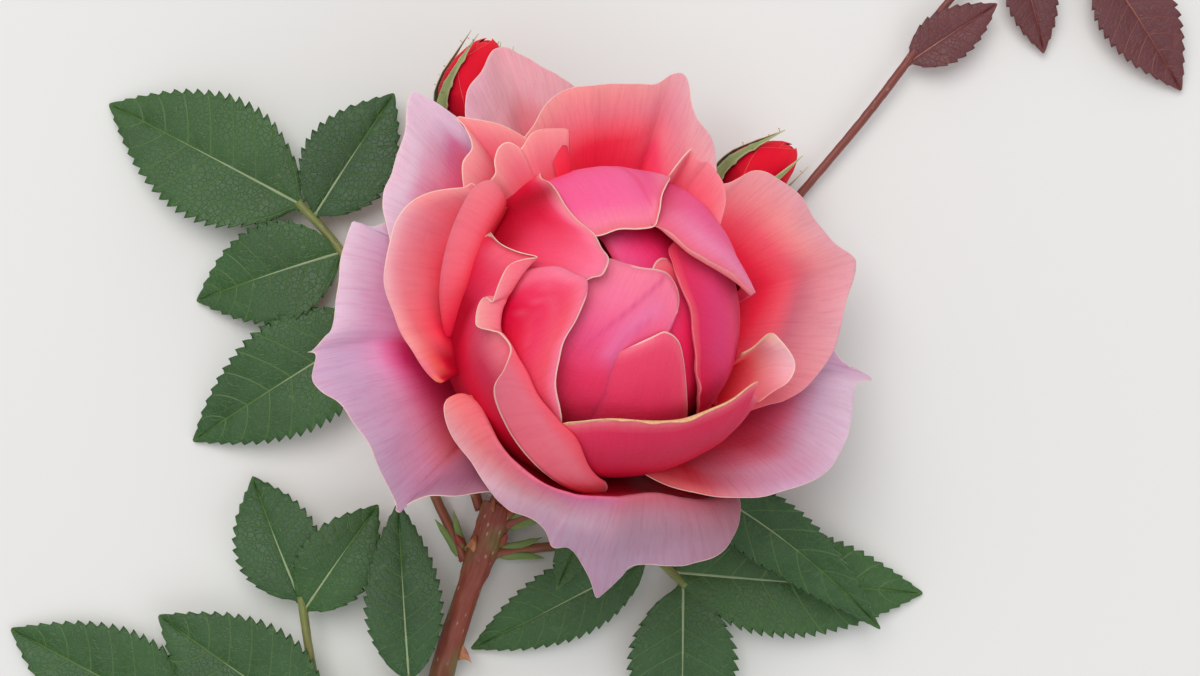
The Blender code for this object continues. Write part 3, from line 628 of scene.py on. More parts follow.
# right sail
flared(
    outer_petals, (60, 0.5, 0, 0.35),
    [(60, 36, 34), (51, 40, 33), (48, 48, 32), (43, 52, 30), (38, 55, 28), (33, 56, 26), (28, 58, 24),
     (24, 62, 21.6), (21.5, 61.6, 21), (15, 57, 22), (5, 52, 22), (-6, 46, 24), (-16, 40, 26),
     (-23, 35, 28), (-30, 32, 28)],
    [[(0, PALE_SALMON), (6, SALMON), (12, CORAL), (17, SCARLET_PINK), (28, CRIMSON)],
     [(0, BLUSH), (7, PALE_SALMON), (13, CORAL), (19, SCARLET_PINK), (27, WINE)],
     [(0, BLUSH), (6, 226, 146, 156), (11, MAUVE_ROSE), (15, CORAL), (20, SCARLET_PINK), (26, WINE)],
     [(0, CORAL), (5, WARM_CORAL), (11, SCARLET_PINK), (20, WINE)]], GUARD_BACK, wave=0.8, seed=11,
    pale=[1, 1, 1, 1, 0.8, 0.2, 0])
# back sail
flared(
    outer_petals, (62, 0.5, 5, 0.35),
    [(120, 36, 36), (115, 38, 36), (101, 46, 34), (91, 48, 34), (78, 53, 32), (74, 58.5, 30),
     (71.5, 58.5, 30), (67, 50.5, 32), (61, 48, 32), (55, 42, 32)],
    [[(0, PALE_SALMON), (5, SALMON), (9, CORAL), (13, WARM_CORAL), (22, SCARLET_PINK)],
     [(0, PALE_SALMON), (6, SALMON), (9, CORAL), (12, SCARLET_PINK), (24, CRIMSON)],
     [(0, BLUSH), (8, 228, 138, 154), (13, SALMON), (17, ROSE), (24, SCARLET_PINK), (34, CRIMSON)],
     [(0, BLUSH), (6, PALE_SALMON), (10, SALMON), (16, ROSE), (24, CRIMSON)]], GUARD_BACK, wave=0.7,
    seed=13)
# back left sail
flared(
    outer_petals, (55, 0.5, 0, 0.35),
    [(128, 44, 32), (122, 51, 32), (115, 55, 30), (109, 61, 26), (106, 60, 26.5), (101, 55, 27.5),
     (94, 50, 27.5), (90, 42, 26)],
    [[(0, 230, 182, 200), (6, 226, 172, 186), (13, BLUSH), (20, SALMON)],
     [(0, BLUSH), (9, BLUSH), (14, 230, 140, 148), (20, SALMON), (28, CORAL)],
     [(0, BLUSH), (7, BLUSH), (13, SALMON), (20, CORAL), (28, CRIMSON)]], GUARD_BACK, wave=0.6, seed=17)
# left sail
flared(
    outer_petals, (55, 0.5, -10, 0.35),
    [(121, 41, 27), (124, 47, 27.5), (127, 57, 24.6), (129, 58, 24), (136, 52, 26), (145, 48, 26),
     (151, 47, 26), (161, 43, 28), (168, 40, 28)],
    [[(0, LILAC_WHITE), (8, LILAC), (13, LILAC_PINK), (20, ROSE), (28, CRIMSON)],
     [(0, LILAC_WHITE), (5, LILAC_WHITE), (9, LILAC), (12, LILAC_PINK), (16, 226, 110, 142),
      (26, CRIMSON)],
     [(0, 238, 206, 222), (3, LILAC_WHITE), (6, 222, 150, 178), (9, 226, 128, 154), (16, ROSE),
      (26, CRIMSON)],
     [(0, LILAC_WHITE), (4, LILAC), (9, LILAC_PINK), (16, ROSE), (26, CRIMSON)]], GUARD_BACK, wave=0.5,
    seed=19)
OUTER_VELVET = petal_material("outer_petal_velvet", 0.5, 0.35, 0.22, CREAM, bump=0.45)
piece_from("outer_petals", outer_petals, OUTER_VELVET, ["bloom"], on_bloom)

# ---- Folded petals ----
# Six narrower petals of the same tissue stand round the closed heart. They rise upright
# from the foot, fold outward at the rim and are coral on the face.
FOLD_BACK = [(0, SALMON), (8, CORAL), (20, ROSE), (40, CRIMSON)]
FOLD_ROLL = 1.2
TAN = screen(236, 196, 146)


def lofted(lines, lip=0.8, turn=60.0, wave=0.3, seed=1):
    """A petal through rows of (azimuth, radius, height) points, from foot to rim."""
    rows, per = 40, 9
    cols = (len(lines[0]) - 1) * per + 1
    runs = np.array([rounded(curve(line, cols)) for line in lines])
    sheet = np.array([curve(runs[:, k], rows) for k in range(cols)]).transpose(1, 0, 2)
    grow = np.linspace(0, 1, rows)[:, None] ** 2
    lift = wave * wobble(sheet, 9.0, seed) * grow
    sheet = sheet + sheet_normal(sheet) * lift[..., None]
    return turned_back(sheet, lip * full_between_ends(cols), turn, FOLD_ROLL)


folded_petals = []
# left, the outer of two; towards its last end it turns to crimson and wine within a millimetre or two of
# the rim, painted shade where it lies against the heart
flared(
    folded_petals, (68, 0.6, -10, [0.45, 0.45, 0.45, 0.45, 0.4, 0.27, 0.16, 0.1, 0.08]),
    [(148, 33.5, 43), (151, 34.2, 43), (153.5, 36.6, 42), (156, 38.8, 40.5), (159.5, 40.8, 38.8),
     (164, 42, 37.6), (171, 42.2, 36.2), (181, 42, 35.5), (192, 39.8, 34), (199, 38, 33),
     (203.8, 36.7, 32), (207.1, 35.7, 31), (208.8, 35.1, 30.6), (208.7, 34.2, 30.6), (205, 33.3, 31),
     (200, 32.4, 31.6), (195, 31.7, 32.4), (189, 31, 33.4)],
    [[(0, SALMON), (5, CORAL), (11, WARM_CORAL), (18, SCARLET_PINK)],
     [(0, PALE_SALMON), (3, 230, 118, 132), (7, CORAL), (13, WARM_CORAL), (18, SCARLET_PINK)],
     [(0, PALE_SALMON), (3, 230, 118, 132), (7, CORAL), (13, WARM_CORAL), (18, SCARLET_PINK)],
     [(0, BLUSH), (2, 226, 136, 150), (5, 226, 112, 128), (9, CORAL), (13, WARM_CORAL),
      (18, SCARLET_PINK)],
     [(0, BLUSH), (2, 228, 130, 142), (5, 228, 108, 120), (9, WARM_CORAL), (10.5, CRIMSON), (13, WINE)],
     [(0, PALE_SALMON), (2.5, 232, 104, 112), (5.4, WARM_CORAL), (6.4, CRIMSON), (7.6, WINE)],
     [(0, SALMON), (1.2, 238, 98, 92), (2.4, 230, 70, 72), (3, CRIMSON), (3.8, WINE)],
     [(0, ORANGE_SALMON), (0.5, CRIMSON), (1.2, WINE)],
     [(0, CRIMSON), (1, WINE)],
     [(0, CRIMSON), (1, WINE)],
     [(0, CRIMSON), (1, WINE)]], FOLD_BACK, wave=0.4, seed=23, per=8, pale=[1, 1, 1, 0.9, 0.6, 0.3, 0])
# left, the inner, folded right over into a rounded band; its face deepens to crimson towards the crest,
# painted shade of the band's curve towards the heart
flared(
    folded_petals, (74, 0.6, 70, 0.3),
    [(146, 27.8, 44.6), (148.5, 26.6, 45.6), (153, 26, 46), (165, 26, 45), (175, 26.6, 43.5),
     (185, 27.8, 41.5), (192, 29.3, 38), (198, 30.9, 34)],
    [[(-9, PALE_SALMON), (-3, 236, 122, 134), (-1, CORAL), (1, WARM_CORAL), (4, SCARLET_PINK),
      (16, WINE)],
     [(-9, 232, 120, 136), (-3, 240, 104, 120), (-1, WARM_CORAL), (1, SCARLET_PINK), (5, CRIMSON),
      (16, WINE)],
     [(-7, CORAL), (-3.5, WARM_CORAL), (-1.5, SCARLET_PINK), (0, CRIMSON), (5, CRIMSON), (16, WINE)]],
    FOLD_BACK,
    over=[(145, 28.8, 45.2), (147, 31, 45.6), (152.5, 32.3, 45.2), (162, 32.5, 43.6), (172, 32.6, 41.4),
          (183, 32.7, 38.8), (190, 32.2, 36), (197.5, 31.4, 33.4)], wave=0.2, seed=29,
    pale=[1, 0.9, 0.3, 0.2, 0.6])
# back left, two lobes with a notch between them
flared(
    folded_petals, (72, 0.6, 20, 0.3),
    [(119, 27.4, 44), (115, 29, 45), (110.4, 31, 46), (110, 31.7, 46), (112, 32.4, 46), (118, 33.1, 46),
     (123, 33, 46), (127, 32.1, 45), (128.6, 31.8, 45.6), (131, 33.8, 46), (135, 33.8, 46),
     (138, 32.8, 45), (141, 31, 44.4), (145, 31, 42.5), (151, 31, 39)],
    2 * [[(0, 242, 60, 84), (6, SCARLET_PINK), (30, CRIMSON)]]
    + 6 * [[(0, PALE_SALMON), (4, SALMON), (10, CORAL), (16, WARM_CORAL), (24, SCARLET_PINK)]],
    2 * [[(0, 242, 60, 84), (6, SCARLET_PINK), (30, CRIMSON)]] + 6 * [FOLD_BACK], wave=0.3, seed=31,
    per=8, widen=0.9, pale=[0, 0, 0.9, 1, 1, 1, 1])
# back left, behind it
flared(
    folded_petals, (68, 0.55, 5, 0.3),
    [(120, 33, 42), (126, 39, 41.5), (131, 43, 40.4), (133, 44.6, 39.8), (134, 42, 41), (138, 38, 42),
     (144, 37, 42), (150, 34, 41)],
    [(0, PALE_SALMON), (5, SALMON), (11, CORAL), (17, WARM_CORAL), (24, SCARLET_PINK)], FOLD_BACK,
    wave=0.3, seed=37)
# back right flap
flared(
    folded_petals, (80, 0.6, 50, 0.3),
    [(84, 22, 44), (72.5, 23.2, 46.5), (69.7, 24, 47.5), (68.6, 26, 47.6), (67.4, 28.4, 47.4),
     (66.6, 31.2, 47), (65.8, 32.4, 46.8), (64, 31.6, 46.6), (61.3, 31.3, 46.4), (58.7, 32.2, 46.2),
     (54.7, 31.9, 46), (50.1, 30.8, 46), (45.1, 28.6, 46), (40.5, 26.3, 45.5), (35.6, 23.9, 44)],
    [(0, 242, 146, 156), (4, 240, 116, 136), (8, 246, 96, 120), (14, ROSE), (22, CRIMSON)], FOLD_BACK,
    wave=0.3, seed=41, per=7, pale=[0.6, 1, 1, 0.7, 0.6, 0.5])
# small one on the right
folded_petals.append(
    petal(lofted([[(-34, 15, 12), (-30, 16, 12), (-26, 16.5, 12), (-22, 17, 12), (-18, 17, 12),
                   (-15, 16.5, 12), (-12, 16, 12)],
                  [(-33, 27, 26), (-28, 27.5, 26.5), (-22, 27.5, 27), (-17, 27.2, 27.5), (-14, 27, 28),
                   (-13, 26.8, 28.5), (-17, 25.5, 29)],
                  [(-30, 32, 34.5), (-24, 33.4, 34.5), (-18, 34, 35), (-13, 33, 36), (-11, 30.8, 37.5),
                   (-13, 28.6, 38), (-19, 26, 38)],
                  [(-29.7, 33.3, 37.8), (-23, 35, 37.2), (-16.5, 36.8, 37.3), (-12.4, 36.3, 38.4),
                   (-9, 32.7, 40.2), (-8.6, 30, 41), (-20, 26, 41.4)]], lip=0.7, turn=100, wave=0.25,
                 seed=43), 40,
          [[(0, PALE_SALMON), (3, SALMON), (7, CORAL), (12, SCARLET_PINK), (20, CRIMSON)],
           [(0, 244, 190, 198), (3, 240, 170, 178), (6, PALE_SALMON), (8, 255, 122, 132),
            (11, 255, 92, 108), (16, WARM_CORAL), (22, SCARLET_PINK)],
           [(0, TAN), (1.5, 226, 132, 128), (4, 240, 108, 110), (8, 255, 86, 98), (16, SCARLET_PINK)]],
          FOLD_BACK, pale=[0.7, 1, 1, 0.8]))
FOLDED_VELVET = petal_material("folded_petal_velvet", 0.35, 0.35, 0.3, CREAM, bump=0.4)
piece_from("folded_petals", folded_petals, FOLDED_VELVET, ["bloom"],
           on_bloom)

# ---- Heart ----
# The unopened middle: petals wrapped over each other like a ball, bright pink outside,
# crimson in the slits, each with a thin dry rim; the front one has a broad tan rim.
PINK_WHITE = screen(252, 134, 162)
HOT_PINK = screen(254, 96, 150)
MAGENTA = screen(212, 62, 130)
SLIT = [(0, CRIMSON), (6, WINE), (30, WINE)]
CENTRE_POLAR, FOOT_POLAR, FOOT_HALF_ANGLE = 85.0, 160.0, 40.0


def heading(azimuth, polar):
    """Unit vectors from the heart's centre."""
    a, p = np.radians(azimuth), np.radians(polar)
    return np.stack([np.sin(p) * np.cos(a), np.sin(p) * np.sin(a), np.cos(p) + 0 * a], -1)


def ball(points):
    """(azimuth, polar, radius) from the heart's centre to bloom coordinates."""
    p = np.array(points, float)
    at = heading(p[..., 0], p[..., 1]) * p[..., 2:3]
    return at + np.array((0.0, 0.0, HEART_HEIGHT))


def unwound(points):
    """Points whose azimuths run on past 180 degrees."""
    p = np.array(points, float)
    p[:, 0] = np.degrees(np.unwrap(np.radians(p[:, 0])))
    return p


def wrap(mid, rim, lip=None, turn=140.0, over=None, swell=0.0, folds=(), wave=0.25,
         seed=1, per=9, curl=1.0):
    """A heart petal, with its rim as (azimuth, polar, radius) points round the heart.

    lip rolls the rim outward by that many millimetres at each rim point, or over gives
    the free edge it folds over to. swell lifts the rim off the petals below. folds are
    ridges and dents (azimuth, polar, azimuth, polar, width, height)."""
    rows, cols = 40, (len(rim) - 1) * per + 1
    rim = unwound(rim)
    lip = np.zeros(len(rim)) if lip is None else np.array(lip, float)
    centre = heading(mid, CENTRE_POLAR)
    up = unit(UP - centre[2] * centre)
    axes = np.stack([np.cross(up, centre), up, centre])

    def flat(v):
        """Headings laid out flat round the petal's centre."""
        local = v @ axes.T
        angle = np.arccos(np.clip(local[..., 2], -1, 1))
        length = np.hypot(local[..., 0], local[..., 1]) + 1e-9
        return np.stack([local[..., k] / length * angle for k in (0, 1)], -1)

    edge = curve(np.column_stack([flat(heading(rim[:, 0], rim[:, 1])), rim[:, 2], lip]),
                 cols)
    base = flat(heading((mid - FOOT_HALF_ANGLE, mid + FOOT_HALF_ANGLE),
                        (FOOT_POLAR, FOOT_POLAR)))
    base = base if rim[-1, 0] > rim[0, 0] else base[::-1]
    along = np.linspace(0, 1, rows)[:, None]
    start = base[0] + (base[1] - base[0]) * np.linspace(0, 1, cols)[:, None]
    sheet = start[None] + (edge[:, :2] - start)[None] * along[..., None]
    angle = np.hypot(sheet[..., 0], sheet[..., 1])[..., None] + 1e-9
    heads = np.concatenate([sheet * np.sin(angle) / angle, np.cos(angle)], -1) @ axes
    # the body keeps to an evened radius and takes the rim's own on its way up
    reach = cols // 4
    low = np.convolve(np.pad(edge[:, 2], reach, "edge"),
                      np.ones(2 * reach + 1) / (2 * reach + 1), "valid")
    size = low + (edge[:, 2][None] - low) * np.clip((along - 0.25) / 0.75, 0, 1) ** 1.5
    size = size * (0.86 + 0.14 * (1 - (1 - np.minimum(1, along * 1.2)) ** 2))
    size = size + swell * along ** 12
    at = heads * size[..., None]
    size = size + wave * wobble(at, 11.0, seed) * along ** 1.5
    for azimuth0, polar0, azimuth1, polar1, width, height in folds:
        a, b = heading(azimuth0, polar0) * low.mean(), heading(azimuth1, polar1) * low.mean()
        t = np.clip(((at - a) @ (b - a)) / ((b - a) @ (b - a)), 0, 1)
        far = np.linalg.norm(at - a - t[..., None] * (b - a), axis=-1)
        size = size + (height * np.exp(-(far / width) ** 2)
                       * np.sin(np.pi * (0.1 + 0.8 * t)) * along ** 0.5)
    sheet = heads * size[..., None]
    sheet[..., 2] += HEART_HEIGHT
    if over is not None:
        return folded_over(sheet, ball(curve(unwound(over), cols)), rise=0.3)
    if lip.any():
        drift = 1 + 0.3 * wobble(sheet[-1], 6.0, seed + 3)
        return turned_back(sheet, np.maximum(edge[:, 3] * drift, 0.04), turn, curl)
    return sheet


def wrapped(petals, mid, rim, inside, outside, pale=None, strokes=(), **shape):
    """Adds a heart petal to the list. strokes are soft strokes of colour on it, among them
    painted shade and painted highlights: (line of azimuth, polar, radius points; width;
    colour; strength)."""
    skin = petal(wrap(mid, rim, **shape), 40, inside, outside, pale)
    for line, width, colour, strength in strokes:
        run = curve(ball(line), 60)
        far = np.linalg.norm(skin["points"][:, None] - run[None], axis=-1).min(1)
        part = strength * np.exp(-(far / width) ** 2)[:, None]
        skin["tint"] = skin["tint"] * (1 - part) + colour * part
    petals.append(skin)


heart_petals, inner_heart_petals, front_cup = [], [], []
# front left: rolled out in a long lip, with a nick in its upper fold; its outer face darkens to crimson
# under the lip, partly painted shade cast by the lip
wrapped(
    heart_petals, -150,
    [(166, 58, 30.8), (173, 52, 30.8), (179, 45, 30.8), (184, 38, 30.9), (187, 40, 30.9),
     (190, 43, 30.8), (193, 46, 30.8), (196, 49, 30.8), (198, 51.5, 30.8), (200, 53, 30.8),
     (202, 55, 30.8), (205, 57, 30.8), (208, 58.5, 30.8), (211, 59, 30.8), (214, 59, 30.8),
     (220, 59, 30.8), (228, 60.5, 30.8), (237, 65, 30.9), (248, 69, 31), (258, 75, 31.2),
     (273, 97, 31.5)],
    [[(-8, SALMON), (-1, CORAL), (0, CORAL), (3, CRIMSON), (14, WINE)],
     [(-5, PALE_SALMON), (-1, SALMON), (0, CORAL), (3, CRIMSON), (14, WINE)],
     [(-5, PALE_SALMON), (-2, SALMON), (0, CORAL), (3, CRIMSON), (14, WINE)],
     [(-6, CREAM), (-4, PALE_SALMON), (-1, SALMON), (0, CORAL), (3, CRIMSON), (14, WINE)],
     [(-9, MAUVE_ROSE), (-4, 226, 112, 132), (-1, CORAL), (0, WARM_CORAL), (2, CRIMSON), (14, WINE)],
     [(-12, CORAL), (-4, SALMON), (0, WARM_CORAL), (2, CRIMSON), (14, WINE)]],
    [[(-4, SALMON), (0, CRIMSON), (3, 228, 60, 92), (8, CRIMSON), (14, WINE)],
     [(-4, SALMON), (0, CORAL), (4, 236, 84, 116), (8, ROSE), (11, DEEP_ROSE), (14, WINE), (26, WINE)],
     [(-4, SALMON), (0, PALE_SALMON), (3, 226, 104, 126), (8, 216, 62, 92), (12, CRIMSON), (16, WINE),
      (26, WINE)],
     [(-4, ROSE), (2, SALMON), (7, 206, 50, 82), (13, CRIMSON), (20, WINE)],
     [(-4, CRIMSON), (4, CRIMSON), (20, WINE)]],
    over=[(166, 58, 30.9), (173, 52, 31), (179, 45, 31.1), (184.6, 37.8, 31.2), (185, 42, 31.8),
          (186, 47, 32), (192, 51, 32.3), (197, 54, 32.5), (198.4, 55.4, 32.6), (195.6, 57, 32.9),
          (197, 59.4, 33.2), (201, 62, 33.4), (204, 62.6, 33.4), (208, 59, 33), (211, 57, 32.6),
          (217, 58, 31.6), (221, 64, 32), (224, 71, 33.4), (235, 78, 34), (252, 89, 34), (277, 109, 33)],
    wave=0.12, seed=61, per=7,
    strokes=[([(176, 52, 31), (180, 49, 31), (184, 45, 31)], 2.6, screen(252, 108, 130), 0.75)])
# left, over the top left petal; its deep crimson towards its left end is partly painted shade near the
# lip, and its pale strokes are painted highlights on its top ridge and wrinkles
wrapped(
    heart_petals, -150,
    [(197, 66, 29), (193, 58, 29), (189, 50, 29), (188, 43, 29), (189, 36, 29), (192, 31, 29.1),
     (200, 27, 29.2), (208, 24, 29.2), (215, 25, 29.2), (221, 28, 29.1), (227, 35, 29), (230, 43, 29),
     (234, 49, 29), (239, 57, 29), (246, 65, 29), (250, 72, 29), (252, 82, 29)], SLIT,
    [[(0, CORAL), (6, CORAL), (14, CRIMSON), (26, WINE)],
     [(0, PINK_WHITE), (4, ROSE), (8, 242, 50, 92), (12, 228, 12, 66), (20, 206, 0, 48)],
     [(0, PINK_WHITE), (3, CORAL), (9, ROSE), (16, SCARLET_PINK), (28, CRIMSON)],
     [(0, PINK_WHITE), (3, ROSE), (9, SCARLET_PINK), (20, CRIMSON)]], swell=0.5,
    folds=[(196, 40, 208, 30, 2, 0.5), (212, 34, 222, 52, 4, -0.7), (200, 46, 212, 42, 1, 0.25)],
    seed=67, per=7, pale=[0, 0, 0, 0.2, 0.7, 1, 1, 1, 1, 1],
    strokes=[([(193, 49, 29.4), (193, 41, 29.5), (196, 34, 29.5), (201, 29, 29.5)], 1.1,
              screen(255, 136, 164), 0.45),
             ([(199, 38, 29.4), (208, 38, 29.4), (218, 41, 29.4), (225, 47, 29.4)], 0.8, PINK_WHITE,
              0.22), ([(198, 45, 29.3), (205, 43, 29.3), (212, 45, 29.3)], 0.5, PINK_WHITE, 0.2),
             ([(204, 50, 29.3), (212, 50, 29.3), (219, 55, 29.3)], 0.5, PINK_WHITE, 0.18)])
# top left; its two wine strokes at the upper left are painted shade under the folded petals beside it
wrapped(
    heart_petals, 160,
    [(112, 80, 28.4), (122, 68, 28.6), (129, 58, 28.6), (131, 51, 28.6), (136, 43, 28.6),
     (145, 34, 28.6), (154, 26, 28.6), (162, 19.5, 28.6), (178, 16, 28.7), (195, 14, 28.7),
     (211, 18, 28.7), (209, 22, 28.6), (208, 27, 28.2), (205, 38, 27.5), (203, 55, 27.2),
     (202, 72, 27.2)], SLIT,
    [[(0, PALE_SALMON), (1.2, SCARLET_PINK), (5, CRIMSON), (12, 200, 0, 36)],
     [(0, PALE_SALMON), (1.4, PINK_WHITE), (2.6, ROSE), (6, 234, 16, 66), (14, CRIMSON), (22, WINE)],
     [(0, PINK_WHITE), (3, 252, 112, 146), (8, 250, 88, 120), (14, ROSE), (20, SCARLET_PINK),
      (30, CRIMSON)],
     [(0, PINK_WHITE), (4, CORAL), (10, ROSE), (18, CRIMSON)]], swell=0.7,
    folds=[(165, 60, 185, 30, 6, -0.9)], seed=71,
    strokes=[([(172, 62, 29), (184, 46, 29), (196, 38, 29)], 1.6, screen(250, 124, 142), 0.6),
             ([(166, 57, 28.8), (160, 58, 28.8), (153, 58, 28.8), (146, 55, 28.8), (140, 49, 28.8)], 4.6,
              screen(168, 0, 26), 0.85),
             ([(158, 49, 28.8), (150, 46, 28.8)], 3, screen(200, 6, 46), 0.5)])
# top; the two rose strokes by its dent are painted shade in the crease, and the pale stroke lower down
# is a painted highlight
wrapped(
    heart_petals, 100,
    [(170, 60, 27.7), (165, 35, 27.7), (159, 21, 27.7), (133, 15, 27.8), (104, 12, 28), (76, 14, 28.5),
     (74, 20, 29), (74, 31, 29.2), (70, 47, 29.2), (69, 58, 29.2), (66, 72, 29.2)], SLIT,
    [[(-1, SALMON), (0, SALMON), (1, PINK_WHITE), (6, HOT_PINK), (20, HOT_PINK), (28, ROSE)],
     [(-1, PALE_SALMON), (0, SALMON), (1.5, PINK_WHITE), (6, 254, 108, 160), (20, HOT_PINK), (32, ROSE)],
     [(-1, SALMON), (0, SALMON), (3, PINK_WHITE), (10, 246, 84, 136), (24, ROSE)]], swell=0.3,
    lip=[0, 0, 0.7, 0.9, 1.1, 1, 0.8, 0.7, 0.5, 0.4, 0], turn=110,
    folds=[(85, 78, 79, 26, 3.4, -1.1), (100, 70, 94, 22, 4, 0.5)], seed=73,
    strokes=[([(93, 62, 29), (89, 42, 28.8), (82, 24, 28.6)], 0.5, DEEP_ROSE, 0.4),
             ([(84, 58, 28.4), (80, 42, 28.3), (77, 30, 28.4)], 2.6, screen(242, 70, 126), 0.6),
             ([(112, 70, 29.2), (100, 72, 29.2), (92, 70, 29)], 2.2, screen(255, 140, 182), 0.5)])
# top right, its lower rim rolled to a salmon band; the deep rose at its first end and the crimson stroke
# below its crease are painted shade
wrapped(
    heart_petals, 40,
    [(82, 62, 28), (81, 44, 28), (80, 30, 28), (80, 20, 28), (78, 14, 28.2), (65, 13, 28.6),
     (39, 13, 28.7), (14, 17, 28.8), (6, 23, 29), (3.5, 28, 29.1), (1.2, 34, 29.4), (-0.6, 40, 29.8),
     (-2.2, 44.5, 30.2), (-2.2, 48.5, 30.4), (0.5, 52, 30.2), (4, 56, 29.4), (13, 66, 28.2)],
    [(-2, PALE_SALMON), (0, SALMON), (4, CRIMSON), (10, WINE), (30, WINE)],
    [[(0, DEEP_ROSE), (6, DEEP_ROSE), (16, HOT_PINK), (28, ROSE)],
     [(-1, SALMON), (0, SALMON), (1.5, 252, 122, 152), (5, 255, 142, 182), (13, 255, 100, 154),
      (28, ROSE)],
     [(-1, SALMON), (0, SALMON), (2, SALMON), (6, 255, 144, 172), (14, HOT_PINK), (28, CRIMSON)]],
    lip=[0, 0, 0, 0, 0.4, 1, 1.5, 1.6, 1.7, 1.8, 1.8, 1.8, 1.7, 1.3, 0.8, 0.4, 0], turn=140, swell=0.2,
    folds=[(62, 78, 50, 46, 8, 1), (18, 78, 14, 46, 5, -0.9)], seed=79, per=8,
    pale=[0, 0.3, 0.5, 0.5, 0.6, 0.8],
    strokes=[([(78, 30, 28.8), (74, 44, 29), (66, 56, 29)], 2.6, screen(228, 44, 98), 0.85)])
# front, over the middle of the heart
wrapped(
    heart_petals, -110,
    [(-150, 75, 26.2), (-150, 50, 26.2), (-165, 22, 26.2), (-175, 14, 26.2), (-165, 9, 26.2),
     (-103, 4, 26.2), (-30, 7, 26.2), (-22, 12, 26.2), (-33, 18, 26.3), (-45, 23, 26.3), (-56, 26, 26.3),
     (-66, 29, 26.2), (-76, 36, 26), (-76, 56, 25.9), (-70, 90, 25.9)],
    [SLIT, SLIT, SLIT, [(0, 244, 110, 150), (6, ROSE), (12, DEEP_ROSE)], SLIT],
    [[(0, PINK_WHITE), (8, 240, 94, 138), (20, 238, 60, 104)],
     [(0, PINK_WHITE), (6, 250, 124, 160), (14, 242, 92, 142), (22, 236, 58, 102), (30, 236, 56, 96)],
     [(0, PINK_WHITE), (6, 248, 108, 148), (15, ROSE), (24, 236, 58, 100)],
     [(0, ROSE), (8, 236, 58, 100)]], swell=0.5,
    folds=[(-118, 44, -62, 14, 1.1, -0.4), (-112, 34, -60, 10, 2.4, 0.3)], seed=83,
    pale=[0, 0, 0.4, 1, 1, 1, 1, 0.4, 0, 0],
    strokes=[([(-104, 40, 26.7), (-96, 28, 26.7), (-72, 20, 26.7)], 1.8, screen(240, 134, 184), 0.55),
             ([(-120, 46, 26.7), (-116, 34, 26.8), (-106, 24, 26.9), (-84, 15, 26.9), (-40, 11, 26.7)],
              0.42, screen(216, 56, 128), 0.55),
             ([(-104, 46, 26.7), (-98, 32, 26.8), (-78, 24, 26.8)], 0.5, screen(220, 70, 130), 0.3)])
# its torn lower flap; the pale stroke along its upper rim is a painted highlight
wrapped(
    heart_petals, -90,
    [(-136, 80, 25), (-117, 65, 25.2), (-113, 54, 25.3), (-107, 45, 25.6), (-102, 39.8, 26),
     (-96.3, 36.1, 26.5), (-86.6, 32.2, 26.9), (-76.9, 30, 27), (-69.2, 29, 27.1), (-64.5, 30, 27.2),
     (-60.4, 32.5, 27.2), (-58.3, 36.2, 27.2), (-58.2, 44.7, 27.2), (-58.2, 56.2, 27.2), (-56, 73, 27.1),
     (-54, 88, 27)], SLIT,
    [[(0, 238, 62, 104), (24, 236, 58, 98)],
     [(0, 248, 104, 132), (3, 240, 76, 110), (10, 236, 62, 102), (24, 232, 52, 92)],
     [(0, SALMON), (2, 242, 76, 108), (10, 236, 62, 100), (24, 228, 50, 90)]], swell=0.15, wave=0.05,
    seed=89, per=7, pale=[0, 0, 0.1, 0.8, 1, 1, 1, 1, 1, 1, 1],
    strokes=[([(-100, 39, 27), (-95, 36.3, 27.2), (-86, 32.9, 27.3), (-77, 31.2, 27.3)], 0.55,
              screen(255, 176, 192), 0.6)])
# right, with its near rim folded into an upright band
wrapped(
    inner_heart_petals, 0,
    [(62, 62, 27.3), (50, 34, 27.1), (37, 18, 26.7), (25, 13.5, 26.6), (2, 13.8, 26.7),
     (-17.6, 16.3, 26.8), (-30.5, 21.7, 26.9), (-37.8, 28.6, 27), (-45, 36.7, 27), (-48.1, 44.2, 27),
     (-50.3, 52, 27), (-50, 65.7, 27), (-49, 80, 27), (-47, 92, 27), (-45, 102, 27)],
    [(-2, SALMON), (0, CORAL), (1.4, MAGENTA), (4, 226, 30, 84), (12, 214, 16, 64), (26, CRIMSON)],
    [[(-1, ROSE), (2, ROSE), (12, HOT_PINK), (24, ROSE)],
     [(-2, SALMON), (0, CORAL), (0.9, 226, 46, 96), (8, 232, 66, 122), (14, 244, 66, 116),
      (19, DEEP_ROSE), (25, CRIMSON)],
     [(-2, CORAL), (0, WARM_CORAL), (0.9, CRIMSON), (8, 210, 6, 52), (14, 240, 44, 96), (24, CRIMSON)]],
    lip=[0, 0, 0.2, 0.5, 0.9, 1.2, 1.5, 1.6, 1.7, 1.7, 1.8, 1.8, 1.6, 1, 0.3], turn=150, curl=1.2,
    seed=97, per=8, pale=[0, 0.5, 0.8, 0.8, 0.8, 0.6])
